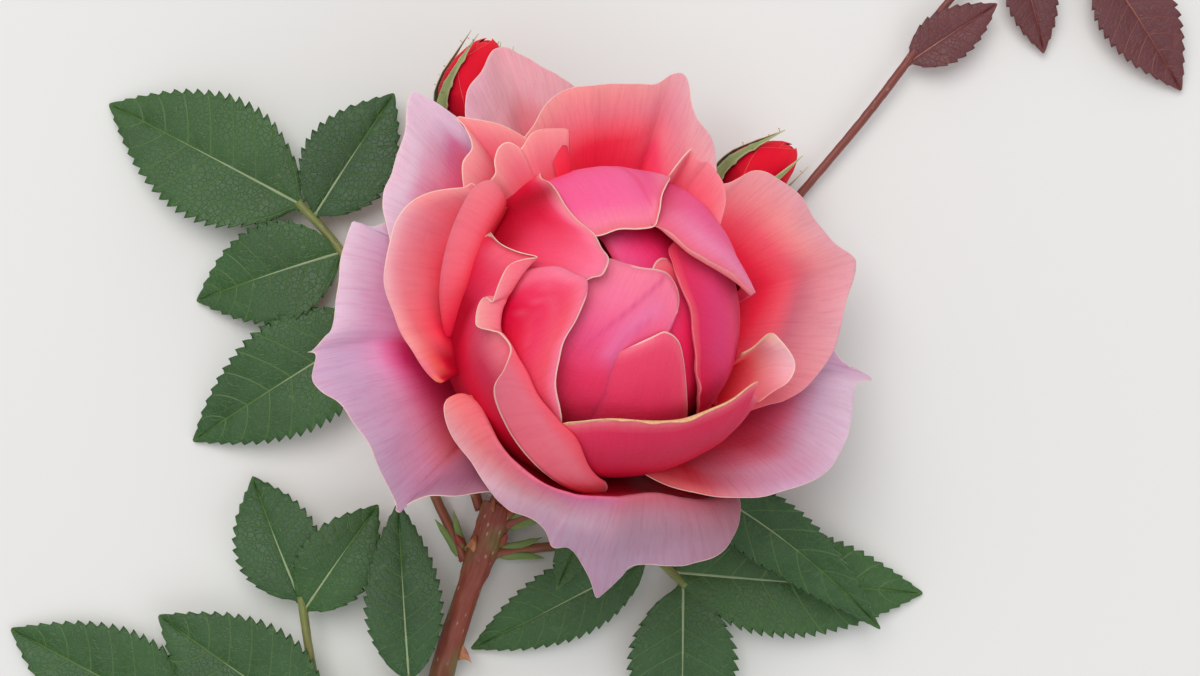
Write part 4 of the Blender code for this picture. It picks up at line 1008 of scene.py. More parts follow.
# three of the innermost, deep in the opening, and the dark middle
wrapped(
    inner_heart_petals, -50,
    [(-20, 40, 25), (-20, 22, 25.3), (5, 14, 25.4), (16, 12, 25.5), (19, 9, 25.5), (1, 6, 25.5),
     (-60, 7, 25.4), (-100, 16, 25), (-110, 40, 25), (-105, 80, 25)], SLIT,
    [(0, SALMON), (3, CORAL), (7, 242, 66, 116), (14, 255, 44, 104), (24, 252, 40, 92)], wave=0.1,
    seed=101)
wrapped(
    inner_heart_petals, 60,
    [(175, 60, 24), (152, 44, 24.2), (145, 30, 24.5), (148, 19, 24.5), (160, 14, 24.5),
     (182, 10.5, 24.4), (-136, 9.5, 24.3), (-70, 20, 24), (-60, 50, 24), (-50, 80, 24)], SLIT,
    [(0, ROSE), (1.5, HOT_PINK), (5, 255, 76, 136), (10, 255, 42, 108), (18, CRIMSON), (30, WINE)],
    wave=0.15, seed=103, pale=[0, 0, 0.2, 0.3, 0.2, 0, 0])
wrapped(
    inner_heart_petals, 200,
    [(300, 60, 22.5), (280, 25, 22.8), (230, 14, 22.8), (150, 16, 22.6), (110, 40, 22.5),
     (100, 80, 22.5)], SLIT, [(0, DEEP_ROSE), (6, CRIMSON), (20, WINE)], wave=0.1, seed=107, pale=[0, 0])
inner_heart_petals.append(
    petal(ball(np.stack(np.meshgrid(np.linspace(0, 360, 31), np.linspace(150, 2, 24))
                        + [np.full((24, 31), 22)], -1)), 24, [(0, CRIMSON), (9, CRIMSON)],
          [(0, CRIMSON), (9, CRIMSON)], pale=[0, 0]))
# two low ones that hug the back
wrapped(
    heart_petals, 80,
    [(142, 112, 29.4), (132, 101, 29.8), (118, 94, 30), (104, 91, 30.2), (92, 90, 30.3), (80, 87, 30.3),
     (66, 89, 30.3), (54, 92, 30.2), (42, 98, 29.9), (32, 108, 29.4)], SLIT,
    [[(-1, PALE_SALMON), (0, SALMON), (6, CORAL), (16, ROSE), (30, CRIMSON)],
     [(-1, BLUSH), (0, PALE_SALMON), (5, 250, 112, 150), (16, HOT_PINK), (30, ROSE)],
     [(-1, PALE_SALMON), (0, SALMON), (6, CORAL), (16, ROSE), (30, CRIMSON)]],
    lip=[0.1, 0.6, 1.1, 1.4, 1.3, 1.5, 1.6, 1.3, 0.8, 0.2], turn=130, wave=0.35, seed=113)
wrapped(
    heart_petals, 24,
    [(68, 112, 29.6), (59, 102, 29.8), (48, 96, 29.9), (36, 93, 29.9), (26, 92, 29.8), (16, 94, 29.5),
     (6, 99, 29.1), (-3, 108, 28.6)], SLIT,
    [[(-1, PALE_SALMON), (0, SALMON), (8, CORAL), (18, WARM_CORAL)],
     [(-1, BLUSH), (0, PALE_SALMON), (6, SALMON), (16, ROSE), (28, CRIMSON)]],
    lip=[0.1, 0.5, 0.9, 1.1, 1, 0.8, 0.5, 0.1], turn=130, wave=0.35, seed=127)
HEART_VELVET = petal_material("heart_petal_velvet", 0.3, 0.45, 0.36, CREAM, bump=0.5)
for name, petals in (("heart_petals", heart_petals),
                     ("inner_heart_petals", inner_heart_petals)):
    piece_from(name, petals, HEART_VELVET, ["bloom"], on_bloom)
wrapped(
    front_cup, -70,
    [(-125, 95, 30), (-117, 79, 30), (-110.5, 70, 30.2), (-106.8, 66.6, 30.3), (-98.6, 62.4, 30.4),
     (-87.3, 60.3, 30.5), (-74.9, 60.9, 30.6), (-65.5, 62, 30.8), (-57.4, 62.8, 31), (-50.5, 63.1, 31.3),
     (-43.3, 63.5, 31.8), (-36.2, 64, 32.6), (-31, 65.5, 33.5), (-32, 70, 33.2), (-30, 77, 33.6),
     (-37, 83, 31.6), (-46, 89, 30.6), (-53, 97, 30.2)],
    [[(-2, TAN), (0, TAN), (0.6, SALMON), (3, CRIMSON), (12, WINE)],
     [(-2, TAN), (0, TAN), (0.6, SALMON), (4, CORAL), (9, CRIMSON), (16, WINE)]],
    [[(-1, TAN), (0, SALMON), (2, ROSE), (8, DEEP_ROSE), (18, CRIMSON)],
     [(-1, TAN), (0, SALMON), (2, DEEP_ROSE), (10, 204, 40, 76), (17, 206, 10, 52), (30, WINE)],
     [(-1, TAN), (0, SALMON), (2, DEEP_ROSE), (9, 204, 48, 82), (16, 206, 10, 52), (30, WINE)],
     [(-1, 206, 96, 108), (0, 206, 92, 110), (3, 204, 66, 92), (9, DEEP_ROSE), (20, CRIMSON)]],
    lip=[0, 0.1, 0.4, 0.7, 1, 1.2, 1.3, 1.4, 1.4, 1.4, 1.3, 1.1, 0.6, 0.1, 0.1, 0, 0, 0], turn=120,
    wave=0.2, curl=0.8, swell=0.2, seed=109, per=8, pale=[1, 1, 1, 1, 1, 1, 1, 1, 0.5, 0.2, 0.1, 0])
CUP_VELVET = petal_material("front_cup_velvet", 0.3, 0.3, 0.9, TAN, bump=0.4, flecks=1.0)
piece_from("front_cup", front_cup, CUP_VELVET, ["bloom"], on_bloom)

# ---- Neck ----
# The short green neck that carries the bloom: a fleshy round stem, flushed red on its
# upper side, bent up from the node at the top of the cane to the hip.
BASE_CENTRE = np.array((0.6, -39.6, 0.0))
STEM_GREEN = screen(118, 132, 66)
STEM_PALE = screen(158, 164, 92)
STEM_RED = screen(140, 62, 44)
BARK_RED = screen(138, 62, 44)
NO_RIM = 9.0
SWELL_CORE = 2.5


def closed_tube(skin, tint, lay):
    """The closed skin of rings of points: points, faces, tint, rim distance and lay."""
    rows, sides = skin.shape[:2]
    at = np.arange(rows * sides).reshape(rows, sides)
    beside = np.roll(at, -1, 1)
    return {"points": skin.reshape(-1, 3),
            "faces": np.stack([at[:-1], beside[:-1], beside[1:], at[1:]], -1).reshape(-1, 4),
            "tint": tint.reshape(-1, 3), "edge": np.full(rows * sides, NO_RIM),
            "lay": lay.reshape(-1, 3), "caps": [at[0][::-1].tolist(), at[-1].tolist()]}


def stalk(path, tints, sides=18, step=1.0, relief=0.03, swells=(), cut=None, seed=1,
          ridges=0.0):
    """A closed round stem through (x, y, z, radius) points, with drifting tints.

    tints are the runs of its underside and its upper side, in hundredths of its length.
    swells are (point, width, height) rings where something joins it; cut is a run of
    (share of the radius, colour) over a flat cut first end."""
    path = np.array(path, float)
    path[:, :3] -= BASE_CENTRE
    length = np.linalg.norm(np.diff(path[:, :3], axis=0), axis=1).sum()
    line = curve(path, max(8, int(length / step)))
    centre, radius = line[:, :3], line[:, 3].copy()
    for at, width, height in swells:
        far = np.linalg.norm(centre - (np.array(at, float) - BASE_CENTRE), axis=1)
        radius = radius + height * np.exp(-np.maximum(far - SWELL_CORE, 0) ** 2 / width ** 2)
    ahead = unit(np.gradient(centre, axis=0))
    gone = np.concatenate([[0], np.cumsum(np.linalg.norm(np.diff(centre, axis=0), axis=1))])
    turn = np.arange(sides) * 2 * np.pi / sides
    side = np.cross(ahead[0], UP)
    spokes = []
    for way in ahead:
        side = unit(side - side.dot(way) * way)
        spokes.append(np.outer(np.cos(turn), side)
                      + np.outer(np.sin(turn), np.cross(side, way)))
    spokes = np.array(spokes)
    skin = centre[:, None] + spokes * radius[:, None, None]
    rough = relief * wobble(skin, 3.0, seed) + relief * wobble(skin * (1, 0.12, 1), 1.6,
                                                               seed + 1)
    rough = rough + ridges * np.cos(turn * 7 + 0.6 * wobble(skin, 30, seed + 2))
    ends = np.minimum(1, np.minimum(gone, gone[-1] - gone) + (cut is not None))
    skin = skin + spokes * (radius[:, None] * rough * ends[:, None])[..., None]
    # one run of tints underneath and one on top, blended by how far the skin faces up
    share = (gone / gone[-1])[:, None] + 0.06 * wobble(skin, 12.0, seed + 4)
    base, flush = (painted([run], share * 100, share) for run in tints)
    red = np.clip(0.5 + 0.6 * spokes[..., 2] + 0.35 * wobble(skin, 9.0, seed + 6), 0,
                  1)[..., None]
    tint = base * (1 - red) + flush * red
    around = np.linspace(0, 1, sides, endpoint=False)[None] * 2 * np.pi * radius.mean()
    none = 0 * share
    lay = np.stack([around + none, gone[:, None] + none, none], -1)
    if cut is not None:
        inner = [centre[0] + (skin[0] - centre[0]) * s for s, c in cut]
        skin = np.concatenate([inner, skin])
        tint = np.concatenate([np.array([np.tile(c, (sides, 1)) for s, c in cut]), tint])
        lay = np.concatenate([np.repeat(lay[:1], len(cut), 0), lay])
    return closed_tube(skin, tint, lay)


def stem_tissue(tree, given):
    """Lengthwise streaks, pale dots and fine relief of a green stem or bark."""
    place = put(tree, "ShaderNodeTexCoord").outputs["Object"]
    long, oval = (stretched(tree, given["Lay"], (1.0, scale, 1.0)) for scale in (0.09, 0.45))
    streak = noise_of(tree, long, 2.2, 5.0, Roughness=0.65)
    grain = noise_of(tree, place, 900.0, 3.0)
    cell = put(tree, "ShaderNodeTexVoronoi", [("Vector", oval), ("Scale", 0.75),
                                              ("Randomness", 1.0)]).outputs["Distance"]
    dots = sum_of(tree, "MULTIPLY", above(tree, cell, 0.20, -9.0), given["Dots"])
    colour = blend_of(tree, above(tree, streak, 0.42, 3.0), given["Tint"],
                      (0.55, 0.45, 0.42, 1), "MULTIPLY", given["Streaks"])
    colour = blend_of(tree, grain, colour, (0.80, 0.84, 0.78, 1), "MULTIPLY", 0.35)
    colour = blend_of(tree, dots, colour, (0.55, 0.46, 0.33, 1), share=0.6)
    relief = weighed(tree, (streak, given["Streaks"]), (grain, 0.3), start=dots)
    return colour, relief, weighed(tree, (grain, 0.3), start=0.36)


STEM_TISSUE = tissue_group("stem_tissue", [("Tint", "colour"), ("Lay", "vector"),
                                           ("Streaks", "value"), ("Dots", "value")],
                           stem_tissue)


def stem_material(name, streaks, dots, coat, glow):
    """Skin of a stem with its own streaks and dots."""
    return tissue_material(name, STEM_TISSUE, [("Streaks", streaks), ("Dots", dots)], 0.5,
                           0.0002, [("Coat Weight", coat), ("Coat Roughness", 0.35),
                                    ("Subsurface Weight", glow),
                                    ("Subsurface Radius", (0.7, 1.0, 0.3)),
                                    ("Subsurface Scale", 0.0012)])


GREEN_STEM = stem_material("green_stem_skin", 0.5, 0.5, coat=0.15, glow=0.15)
NECK_TINTS = ([(0, STEM_RED), (25, STEM_GREEN), (100, STEM_PALE)],
              [(0, BARK_RED), (30, STEM_RED), (100, STEM_GREEN)])
hip_end = BLOOM_FOOT + BASE_CENTRE - 15.3 * AXIS
neck_foot = np.array((-21.3, -31.5, 4.7))
neck_path = [(*(neck_foot + np.array((-0.2, -0.6, 0.0))), 2.4),
             (*(neck_foot + np.array((0.3, 0.9, 0.0))), 2.3), (-19.5, -26.0, 4.7, 2.1),
             (-17.9, -20.5, 5.4, 2.0), (-16.5, -16.0, 7.0, 1.9),
             (*(hip_end - 2.5 * AXIS), 1.9), (*(hip_end + 0.6 * AXIS), 2.0)]
neck = piece_from("neck_stem", [stalk(neck_path, NECK_TINTS, sides=28, step=0.6, seed=3)],
                  GREEN_STEM, ["neck"])

# ---- Calyx ----
# The hip is a green urn under the petals. Five leafy sepals, downy at the edge and with
# small side lobes, hang back from its rim, and gland-tipped bristles stand all over it.
SEPAL_TOP = screen(150, 166, 96)
SEPAL_BACK = screen(106, 132, 62)
SEPAL_DOWN = screen(206, 210, 168)
HIP_PROFILE = [(-15.6, 1.6), (-15.0, 2.2), (-14.0, 2.9), (-11.0, 4.6), (-7.0, 5.6),
               (-3.0, 5.3), (-1.2, 5.4), (0.5, 6.6), (3.5, 8.6)]
SEPALS = 5
SEPAL_WIDTH = ((0, 0.2, 0.45, 0.7, 0.88, 1.0), (0.85, 1.0, 0.80, 0.42, 0.16, 0.03))
SEPAL_LINE = [(4.0, -1.4), (8.0, -1.6), (13.0, -3.0), (16.5, -7.0), (18.0, -12.0),
              (18.5, -16.0)]


def turned_skin(place, profile, tints, sides, rows):
    """A closed turned form from (height, radius) pairs; place maps it to the frame."""
    line = curve(profile, rows)
    turn = np.arange(sides) * 2 * np.pi / sides
    height, radius = line[:, 0], np.maximum(line[:, 1], 0.02)
    ring = np.stack([np.cos(turn)[None] * radius[:, None],
                     np.sin(turn)[None] * radius[:, None],
                     height[:, None] + 0 * turn[None]], -1)
    ring = ring * (1 + 0.02 * wobble(ring, 4.0, 1)[..., None] * np.array((1.0, 1.0, 0.0)))
    gone = np.linspace(0, 100, rows)[:, None] + 0 * turn[None]
    lay = np.stack([turn[None] * radius.mean() + 0 * gone, height[:, None] + 0 * gone,
                    0 * gone], -1)
    return closed_tube(place(ring), painted([tints], gone, gone), lay)


def blade_skin(grid, top, under, thickness, lay, edge, normal):
    """A thin closed blade round a grid: top faces along normal, under the other way."""
    thin = thickness * np.clip(0.4 + edge / 1.2, 0.4, 1)
    return closed_sheet(grid, normal, thin, (top, under), edge, lay)


def strap(middle, side, width, s, length):
    """The grid, rim distance and lay of a strap along a middle line; s runs across it."""
    edge = (1 - np.abs(s))[None] * width[:, None]
    along = np.linspace(0, 1, len(middle)) * length
    lay = np.stack([s[None] * width[:, None], along[:, None] + 0 * edge, 0 * edge], -1)
    return middle[:, None] + s[None, :, None] * width[:, None, None] * side, edge, lay


def sepals(place, first, line, half_width, lobes, seed):
    """Five leafy sepals round a hip; line gives (radius, height) from root to tip."""
    made = []
    path, t, s = curve(line, 60), np.linspace(0, 1, 60), np.linspace(-1, 1, 9)
    for k in range(SEPALS):
        dice = np.random.default_rng(seed * 31 + k)
        turn = np.radians(first + 360.0 / SEPALS * k + dice.uniform(-5, 5))
        out = np.array((np.cos(turn), np.sin(turn), 0.0))
        side = np.array((-np.sin(turn), np.cos(turn), 0.0))
        sway = dice.uniform(-1.2, 1.2) * t ** 2
        middle = path[:, 0:1] * out + path[:, 1:2] * UP + sway[:, None] * side
        width = half_width * np.interp(t, *SEPAL_WIDTH)
        tooth = np.maximum(0, np.sin(2 * np.pi * (t * 5.0 + dice.uniform()))) ** 3
        width = width + lobes * tooth * (t > 0.18) * (t < 0.8)
        grid, edge, lay = strap(middle, side, width, s, 22)
        bend = unit(np.cross(np.gradient(middle, axis=0), side))
        grid = grid + (0.22 * np.abs(s[None]) ** 2 * width[:, None])[..., None] * bend[:, None]
        down = np.clip(1 - edge / 0.35, 0, 1)[..., None] * 0.7
        shade = (0.85 + 0.15 * wobble(grid, 5.0, seed + k))[..., None] * (1 - down)
        grid = place(grid)
        made.append(blade_skin(grid, SEPAL_BACK * shade + SEPAL_DOWN * down,
                               SEPAL_TOP * shade + SEPAL_DOWN * down, 0.32, lay, edge,
                               sheet_normal(grid)))
    return made


hip = turned_skin(on_bloom, HIP_PROFILE, [(0, STEM_PALE), (50, STEM_GREEN),
                                          (75, 134, 92, 58), (100, STEM_GREEN)], 40, 36)
calyx = piece_from("hip_and_sepals", [hip] + sepals(on_bloom, 20.0, SEPAL_LINE, 3.0, 0.5, 5),
                   GREEN_STEM, ["calyx"])


GLAND_RADIUS = 0.00013
BRISTLE_TIP = 0.00004


def compare(tree, value, low):
    """Whether a value is greater than low."""
    return put(tree, "FunctionNodeCompare", [(0, value), (1, low)], data_type="FLOAT",
               operation="GREATER_THAN").outputs[0]


def hooked_shape(tree, cone, length):
    """A prickle: the cone flattened and bent over to one side towards its tip."""
    where = tree.nodes.new("GeometryNodeInputPosition").outputs[0]
    part = put(tree, "ShaderNodeSeparateXYZ", [(0, where)]).outputs
    up = sum_of(tree, "DIVIDE", part["Z"], length)
    hook = sum_of(tree, "MULTIPLY", sum_of(tree, "POWER", up, 2.0), length)
    push = weighed(tree, (hook, 0.55), (part["X"], weighed(tree, (up, -0.5), start=0.9)))
    narrow = sum_of(tree, "MULTIPLY", part["Y"], -0.45)
    push = put(tree, "ShaderNodeCombineXYZ", [("X", push), ("Y", narrow)]).outputs[0]
    return put(tree, "GeometryNodeSetPosition",
               [("Geometry", cone), ("Offset", push)]).outputs[0]


def glandular_shape(tree, cone, length):
    """A bristle: the cone with a small round gland on its tip."""
    head = put(tree, "GeometryNodeMeshIcoSphere", [("Radius", GLAND_RADIUS),
                                                   ("Subdivisions", 1)])
    lift = put(tree, "ShaderNodeCombineXYZ", [("Z", length)]).outputs[0]
    head = put(tree, "GeometryNodeTransform", [("Geometry", head.outputs["Mesh"]),
                                               ("Translation", lift)]).outputs[0]
    both = tree.nodes.new("GeometryNodeJoinGeometry")
    tree.links.new(head, both.inputs[0])
    tree.links.new(cone, both.inputs[0])
    return both.outputs[0]


def growth_tree(name, hooked):
    """Geometry Nodes: small spines over a surface, straight with a gland or hooked."""
    tree = bpy.data.node_groups.new(name, "GeometryNodeTree")
    for label, kind in (("Surface", "Geometry"), ("Density", "Float"), ("Gap", "Float"),
                        ("Length", "Float"), ("Thickness", "Float"), ("Lowest", "Float"),
                        ("Seed", "Int"), ("Material", "Material")):
        tree.interface.new_socket(label, in_out="INPUT", socket_type="NodeSocket" + kind)
    tree.interface.new_socket("Spines", in_out="OUTPUT", socket_type="NodeSocketGeometry")
    given = tree.nodes.new("NodeGroupInput").outputs
    normal = tree.nodes.new("GeometryNodeInputNormal").outputs[0]
    facing = put(tree, "ShaderNodeSeparateXYZ", [(0, normal)]).outputs
    chosen = put(tree, "FunctionNodeBooleanMath",
                 [(0, compare(tree, facing["Z"], given["Lowest"])),
                  (1, compare(tree, facing["Y"], -0.8))], operation="AND").outputs[0]
    spots = put(tree, "GeometryNodeDistributePointsOnFaces",
                [("Mesh", given["Surface"]), ("Selection", chosen),
                 ("Distance Min", given["Gap"]), ("Density Max", given["Density"]),
                 ("Seed", given["Seed"])], distribute_method="POISSON")
    cone = put(tree, "GeometryNodeMeshCone",
               [("Vertices", 10 if hooked else 5), ("Side Segments", 7 if hooked else 3),
                ("Radius Top", 0.0 if hooked else BRISTLE_TIP),
                ("Radius Bottom", given["Thickness"]),
                ("Depth", given["Length"])]).outputs["Mesh"]
    turn = spots.outputs["Rotation"]
    if hooked:
        turn = put(tree, "FunctionNodeAlignRotationToVector",
                   [("Rotation", turn), ("Vector", (0.0, -1.0, 0.0))], axis="X",
                   pivot_axis="Z").outputs[0]
    shape = (hooked_shape if hooked else glandular_shape)(tree, cone, given["Length"])
    size = put(tree, "FunctionNodeRandomValue", [("Seed", given["Seed"]), (2, 0.55),
                                                 (3, 1.1)], data_type="FLOAT").outputs[1]
    many = put(tree, "GeometryNodeInstanceOnPoints",
               [("Points", spots.outputs["Points"]), ("Instance", shape),
                ("Rotation", turn), ("Scale", size)]).outputs[0]
    real = put(tree, "GeometryNodeRealizeInstances", [(0, many)]).outputs[0]
    done = put(tree, "GeometryNodeSetMaterial", [("Geometry", real),
                                                 ("Material", given["Material"])])
    tree.links.new(done.outputs[0], tree.nodes.new("NodeGroupOutput").inputs[0])
    return tree


def grown(name, host, tree, slot, **values):
    """The spines that a growth tree puts on a piece, as a plain mesh of their own."""
    made = placed(name, host.data.copy())
    grow = made.modifiers.new("growth", "NODES")
    grow.node_group = tree
    for item in tree.interface.items_tree:
        if item.in_out == "INPUT" and item.name in values:
            grow[item.identifier] = values[item.name]
    seen = made.evaluated_get(bpy.context.evaluated_depsgraph_get())
    mesh = bpy.data.meshes.new_from_object(seen)
    made.modifiers.remove(grow)
    made.data = mesh
    mesh.shade_smooth()
    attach(made, "root")


def spine_material(name, foot, tip, rough):
    """Horny spine skin, mottled between two colours."""
    made, tree, shader = new_material(name)
    place = put(tree, "ShaderNodeTexCoord").outputs["Object"]
    noise = noise_of(tree, place, 420.0)
    relief = put(tree, "ShaderNodeBump", [("Strength", 0.3), ("Distance", 0.0001),
                                          ("Height", noise)])
    fill(shader, [("Base Color", blend_of(tree, above(tree, noise, 0.35, 3.0), (*foot, 1),
                                          (*tip, 1))),
                  ("Roughness", weighed(tree, (noise, 0.2), start=rough)),
                  ("Normal", relief.outputs["Normal"])])
    return made


BRISTLES = growth_tree("gland_bristles", False)
BRISTLE_RED = spine_material("bristle_red", screen(150, 70, 52), screen(176, 60, 62), 0.35)
ANY_WAY = -2.0
grown("calyx_bristles", calyx, BRISTLES, "stem_green", Density=900000.0, Gap=0.0007,
      Length=0.0011, Thickness=0.00009, Seed=11, Material=BRISTLE_RED, Lowest=ANY_WAY)
grown("neck_bristles", neck, BRISTLES, "stem_green", Density=600000.0, Gap=0.0008,
      Length=0.0010, Thickness=0.00008, Seed=12, Material=BRISTLE_RED, Lowest=ANY_WAY)

# ---- Cane ----
# A year-old flowering cane of hard green wood under thin reddish brown bark, cut square
# at its foot. It swells where each leaf or side shoot leaves it, with a small red eye in
# most forks, and bears hooked prickles.
BARK_BROWN = screen(126, 78, 52)
WOOD_PALE = screen(226, 212, 168)
PITH = screen(242, 236, 214)
JOINT_WIDTH, JOINT_SWELL = 3.2, 0.42
JOINTS = [(-28.9, -41.2, 4.4), (-45.95, -110.0, 4.0), (-48.2, -137.2, 3.2),
          (-42.0, -91.0, 6.6), (-20.8, -40.9, 4.6), (-18.9, -34.9, 6.1),
          (-25.2, -31.4, 3.4), (-18.2, -32.6, 2.6)]
EYE_AIMS = [(-1, 1.6, 0.9), (-1, 1.8, 0.9), (-1, 1.6, 0.9), (-0.3, 1.4, 1.3),
            (1, 1.6, 1.0), (0.7, 1.6, 1.2)]
EYE_OFFSET = np.array((0.0, 1.9, 0.5))
EYE_PROFILE = [(-0.8, 0.7), (0.0, 1.0), (0.8, 1.05), (1.7, 0.75), (2.5, 0.3), (2.9, 0.05)]
CANE_PATH = [(-44.0, -168.0, 3.2, 3.2), (-44.0, -152.0, 3.2, 3.15),
             (-43.8, -138.0, 3.2, 3.1), (-43.0, -124.0, 3.3, 3.0),
             (-41.3, -106.0, 3.6, 2.9), (-37.8, -86.0, 4.1, 2.7), (-33.0, -66.0, 4.6, 2.6),
             (-27.5, -48.5, 4.8, 2.55), (-23.0, -36.5, 4.7, 2.6),
             (*(neck_foot + np.array((0.15, 0.5, 0.0))), 2.5)]
CANE_TINTS = ([(0, BARK_BROWN), (45, 120, 92, 54), (80, 116, 110, 56), (100, STEM_GREEN)],
              [(0, BARK_RED), (50, 142, 70, 48), (85, STEM_RED), (100, STEM_RED)])
CUT_FACE = [(0.05, PITH), (0.30, PITH), (0.34, WOOD_PALE), (0.80, WOOD_PALE),
            (0.84, screen(150, 170, 84)), (0.92, screen(128, 150, 70)),
            (0.95, BARK_BROWN), (0.999, BARK_BROWN)]


def standing(foot, ahead):
    """Maps coordinates with their third axis along ahead to the frame, from a foot."""
    side = unit(np.cross(ahead, UP))
    lift = np.cross(side, ahead)
    return lambda p: foot + p[..., 0:1] * side + p[..., 1:2] * lift + p[..., 2:3] * ahead


cane_skins = [stalk(CANE_PATH, CANE_TINTS, sides=56, step=0.7, relief=0.022, seed=7,
                    ridges=0.008, cut=CUT_FACE,
                    swells=[(joint, JOINT_WIDTH, JOINT_SWELL) for joint in JOINTS])]
for joint, aim in zip(JOINTS, EYE_AIMS):
    foot = np.array(joint) - BASE_CENTRE + EYE_OFFSET
    cane_skins.append(turned_skin(standing(foot, unit(np.array(aim, float))), EYE_PROFILE,
                                  [(0, STEM_GREEN), (40, STEM_RED), (100, 168, 48, 50)],
                                  14, 12))
BARK = stem_material("cane_bark", 0.8, 0.9, coat=0.05, glow=0.05)
cane = piece_from("cane_wood", cane_skins, BARK, ["cane"])
PRICKLES = growth_tree("hooked_prickles", True)
PRICKLE_HORN = spine_material("prickle_horn", screen(150, 74, 52), screen(196, 140, 96), 0.3)
grown("cane_prickles", cane, PRICKLES, "cane_brown", Density=9000.0, Gap=0.0075,
      Length=0.0034, Thickness=0.0011, Seed=5, Material=PRICKLE_HORN, Lowest=-0.15)

# ---- Buds ----
# Two closed buds on thin green stalks: five scarlet petals wound round each other, in a
# small bristly hip whose five narrow sepals have begun to part.
SCARLET = screen(232, 14, 46)
BLOOD_RED = screen(172, 6, 34)
BUD_VELVET = petal_material("bud_petal_velvet", 0.35, 0.2, 0.25, screen(244, 96, 96), 0.3)
GOLDEN_ANGLE = 137.5
PETAL_HALF_ANGLE = 98
BUD_THICKNESS = 0.24
BUD_SHAPE = ((0.0, 0.06, 0.16, 0.32, 0.50, 0.68, 0.82, 0.91, 0.97, 1.0),
             (0.45, 0.62, 0.84, 1.0, 0.97, 0.82, 0.61, 0.42, 0.22, 0.03))
BUD_CORE = [(0.30, 0.84), (0.55, 0.80), (0.78, 0.56), (0.90, 0.34), (0.96, 0.14)]


def wound_bud(place, length, radius):
    """Five petals wound round each other to a closed point, over a solid core."""
    made = []
    s, v = np.linspace(-1, 1, 40)[None], np.linspace(0, 1, 44)[:, None]
    for k in range(5):
        t = v * (1 - 0.34 * np.abs(s) ** 2.2 - 0.02 * k)
        lifted = np.clip(s, 0, 1) ** 3 * 0.035 * np.minimum(1, v * 3)
        r = radius * np.interp(t, *BUD_SHAPE) * (0.99 - 0.022 * k + lifted)
        a = (np.radians(GOLDEN_ANGLE * k)
             + s * np.radians(PETAL_HALF_ANGLE) * (0.6 + 0.4 * v) + 0.9 * t)
        side_run = [(0, SCARLET * (1 - 0.06 * k)), (8, SCARLET), (14, BLOOD_RED)]
        skin = petal(np.stack([r * np.cos(a), r * np.sin(a), t * length], -1), 44,
                     [(0, BLOOD_RED), (20, BLOOD_RED)],
                     [side_run, [(0, 240, 44, 58), (6, SCARLET), (16, BLOOD_RED)],
                      side_run], thickness=BUD_THICKNESS)
        skin["points"] = place(skin["points"])
        made.append(skin)
    core = ([(0.5, 0.5 * radius)] + [(h * length, r * radius) for h, r in BUD_CORE]
            + [(0.975 * length, 0.02)])
    return made + [turned_skin(place, core, [(0, BLOOD_RED), (100, SCARLET)], 24, 20)]


def bud(name, path, root, tip, radius, seed):
    """A stalk with its hip and sepals, and the closed bud that stands in it."""
    root, tip = np.array(root, float), np.array(tip, float)
    length = np.linalg.norm(tip - root)
    ahead = unit(tip - root)
    place = standing(root - BASE_CENTRE, ahead)
    piece_from(name + "_petals", wound_bud(place, length, radius), BUD_VELVET,
               [name])
    stem = stalk(path + [(*(root - back * ahead), 1.3) for back in (14.0, 5.0)],
                 ([(0, STEM_RED), (30, STEM_GREEN), (100, STEM_PALE)],
                  [(0, STEM_RED), (50, 136, 96, 58), (100, STEM_GREEN)]),
                 sides=16, step=0.8, seed=seed)
    cup = turned_skin(place, [(-9.6, 1.0), (-9.0, 1.2), (-7.5, 2.2), (-4.5, 3.4),
                              (-2.0, 3.0), (-0.2, 0.52 * radius), (0.5, 0.58 * radius)],
                      [(0, STEM_PALE), (60, STEM_GREEN), (100, STEM_RED)], 28, 22)
    line = [(0.42 * radius, -1.2), (0.80 * radius, 0.5),
            (radius + 0.6, 0.22 * length), (radius + 0.8, 0.45 * length),
            (0.72 * radius + 1.4, 0.75 * length), (0.45 * radius + 2.0, 1.0 * length)]
    shoot = piece_from(name + "_stem", [stem, cup] + sepals(place, 54.0, line, 1.7, 0.3, seed),
                       GREEN_STEM, [name + "_shoot"])
    grown(name + "_bristles", shoot, BRISTLES, "stem_green", Density=160000.0, Gap=0.0012,
          Length=0.0006, Thickness=0.00007, Seed=seed, Material=BRISTLE_RED,
          Lowest=ANY_WAY)


bud(
    "left_bud",
    [(-25.2, -32, 3.5, 1.1), (-29.5, -19, 2.4, 1.1), (-33.4, -2, 2, 1.1), (-35.4, 15, 3.2, 1.1),
     (-35.2, 27, 6.2, 1.2)], (-29.6, 48, 12), (-22.6, 66, 16), 7, 21)
bud(
    "right_bud",
    [(-18.7, -33, 2.8, 1.1), (-8, -24, 1.8, 1.1), (1, -10, 1.6, 1.1), (5, 4, 2.6, 1.1),
     (8.4, 15, 5.6, 1.2)], (25.5, 33.5, 10.6), (41, 43.5, 13), 6.4, 22)

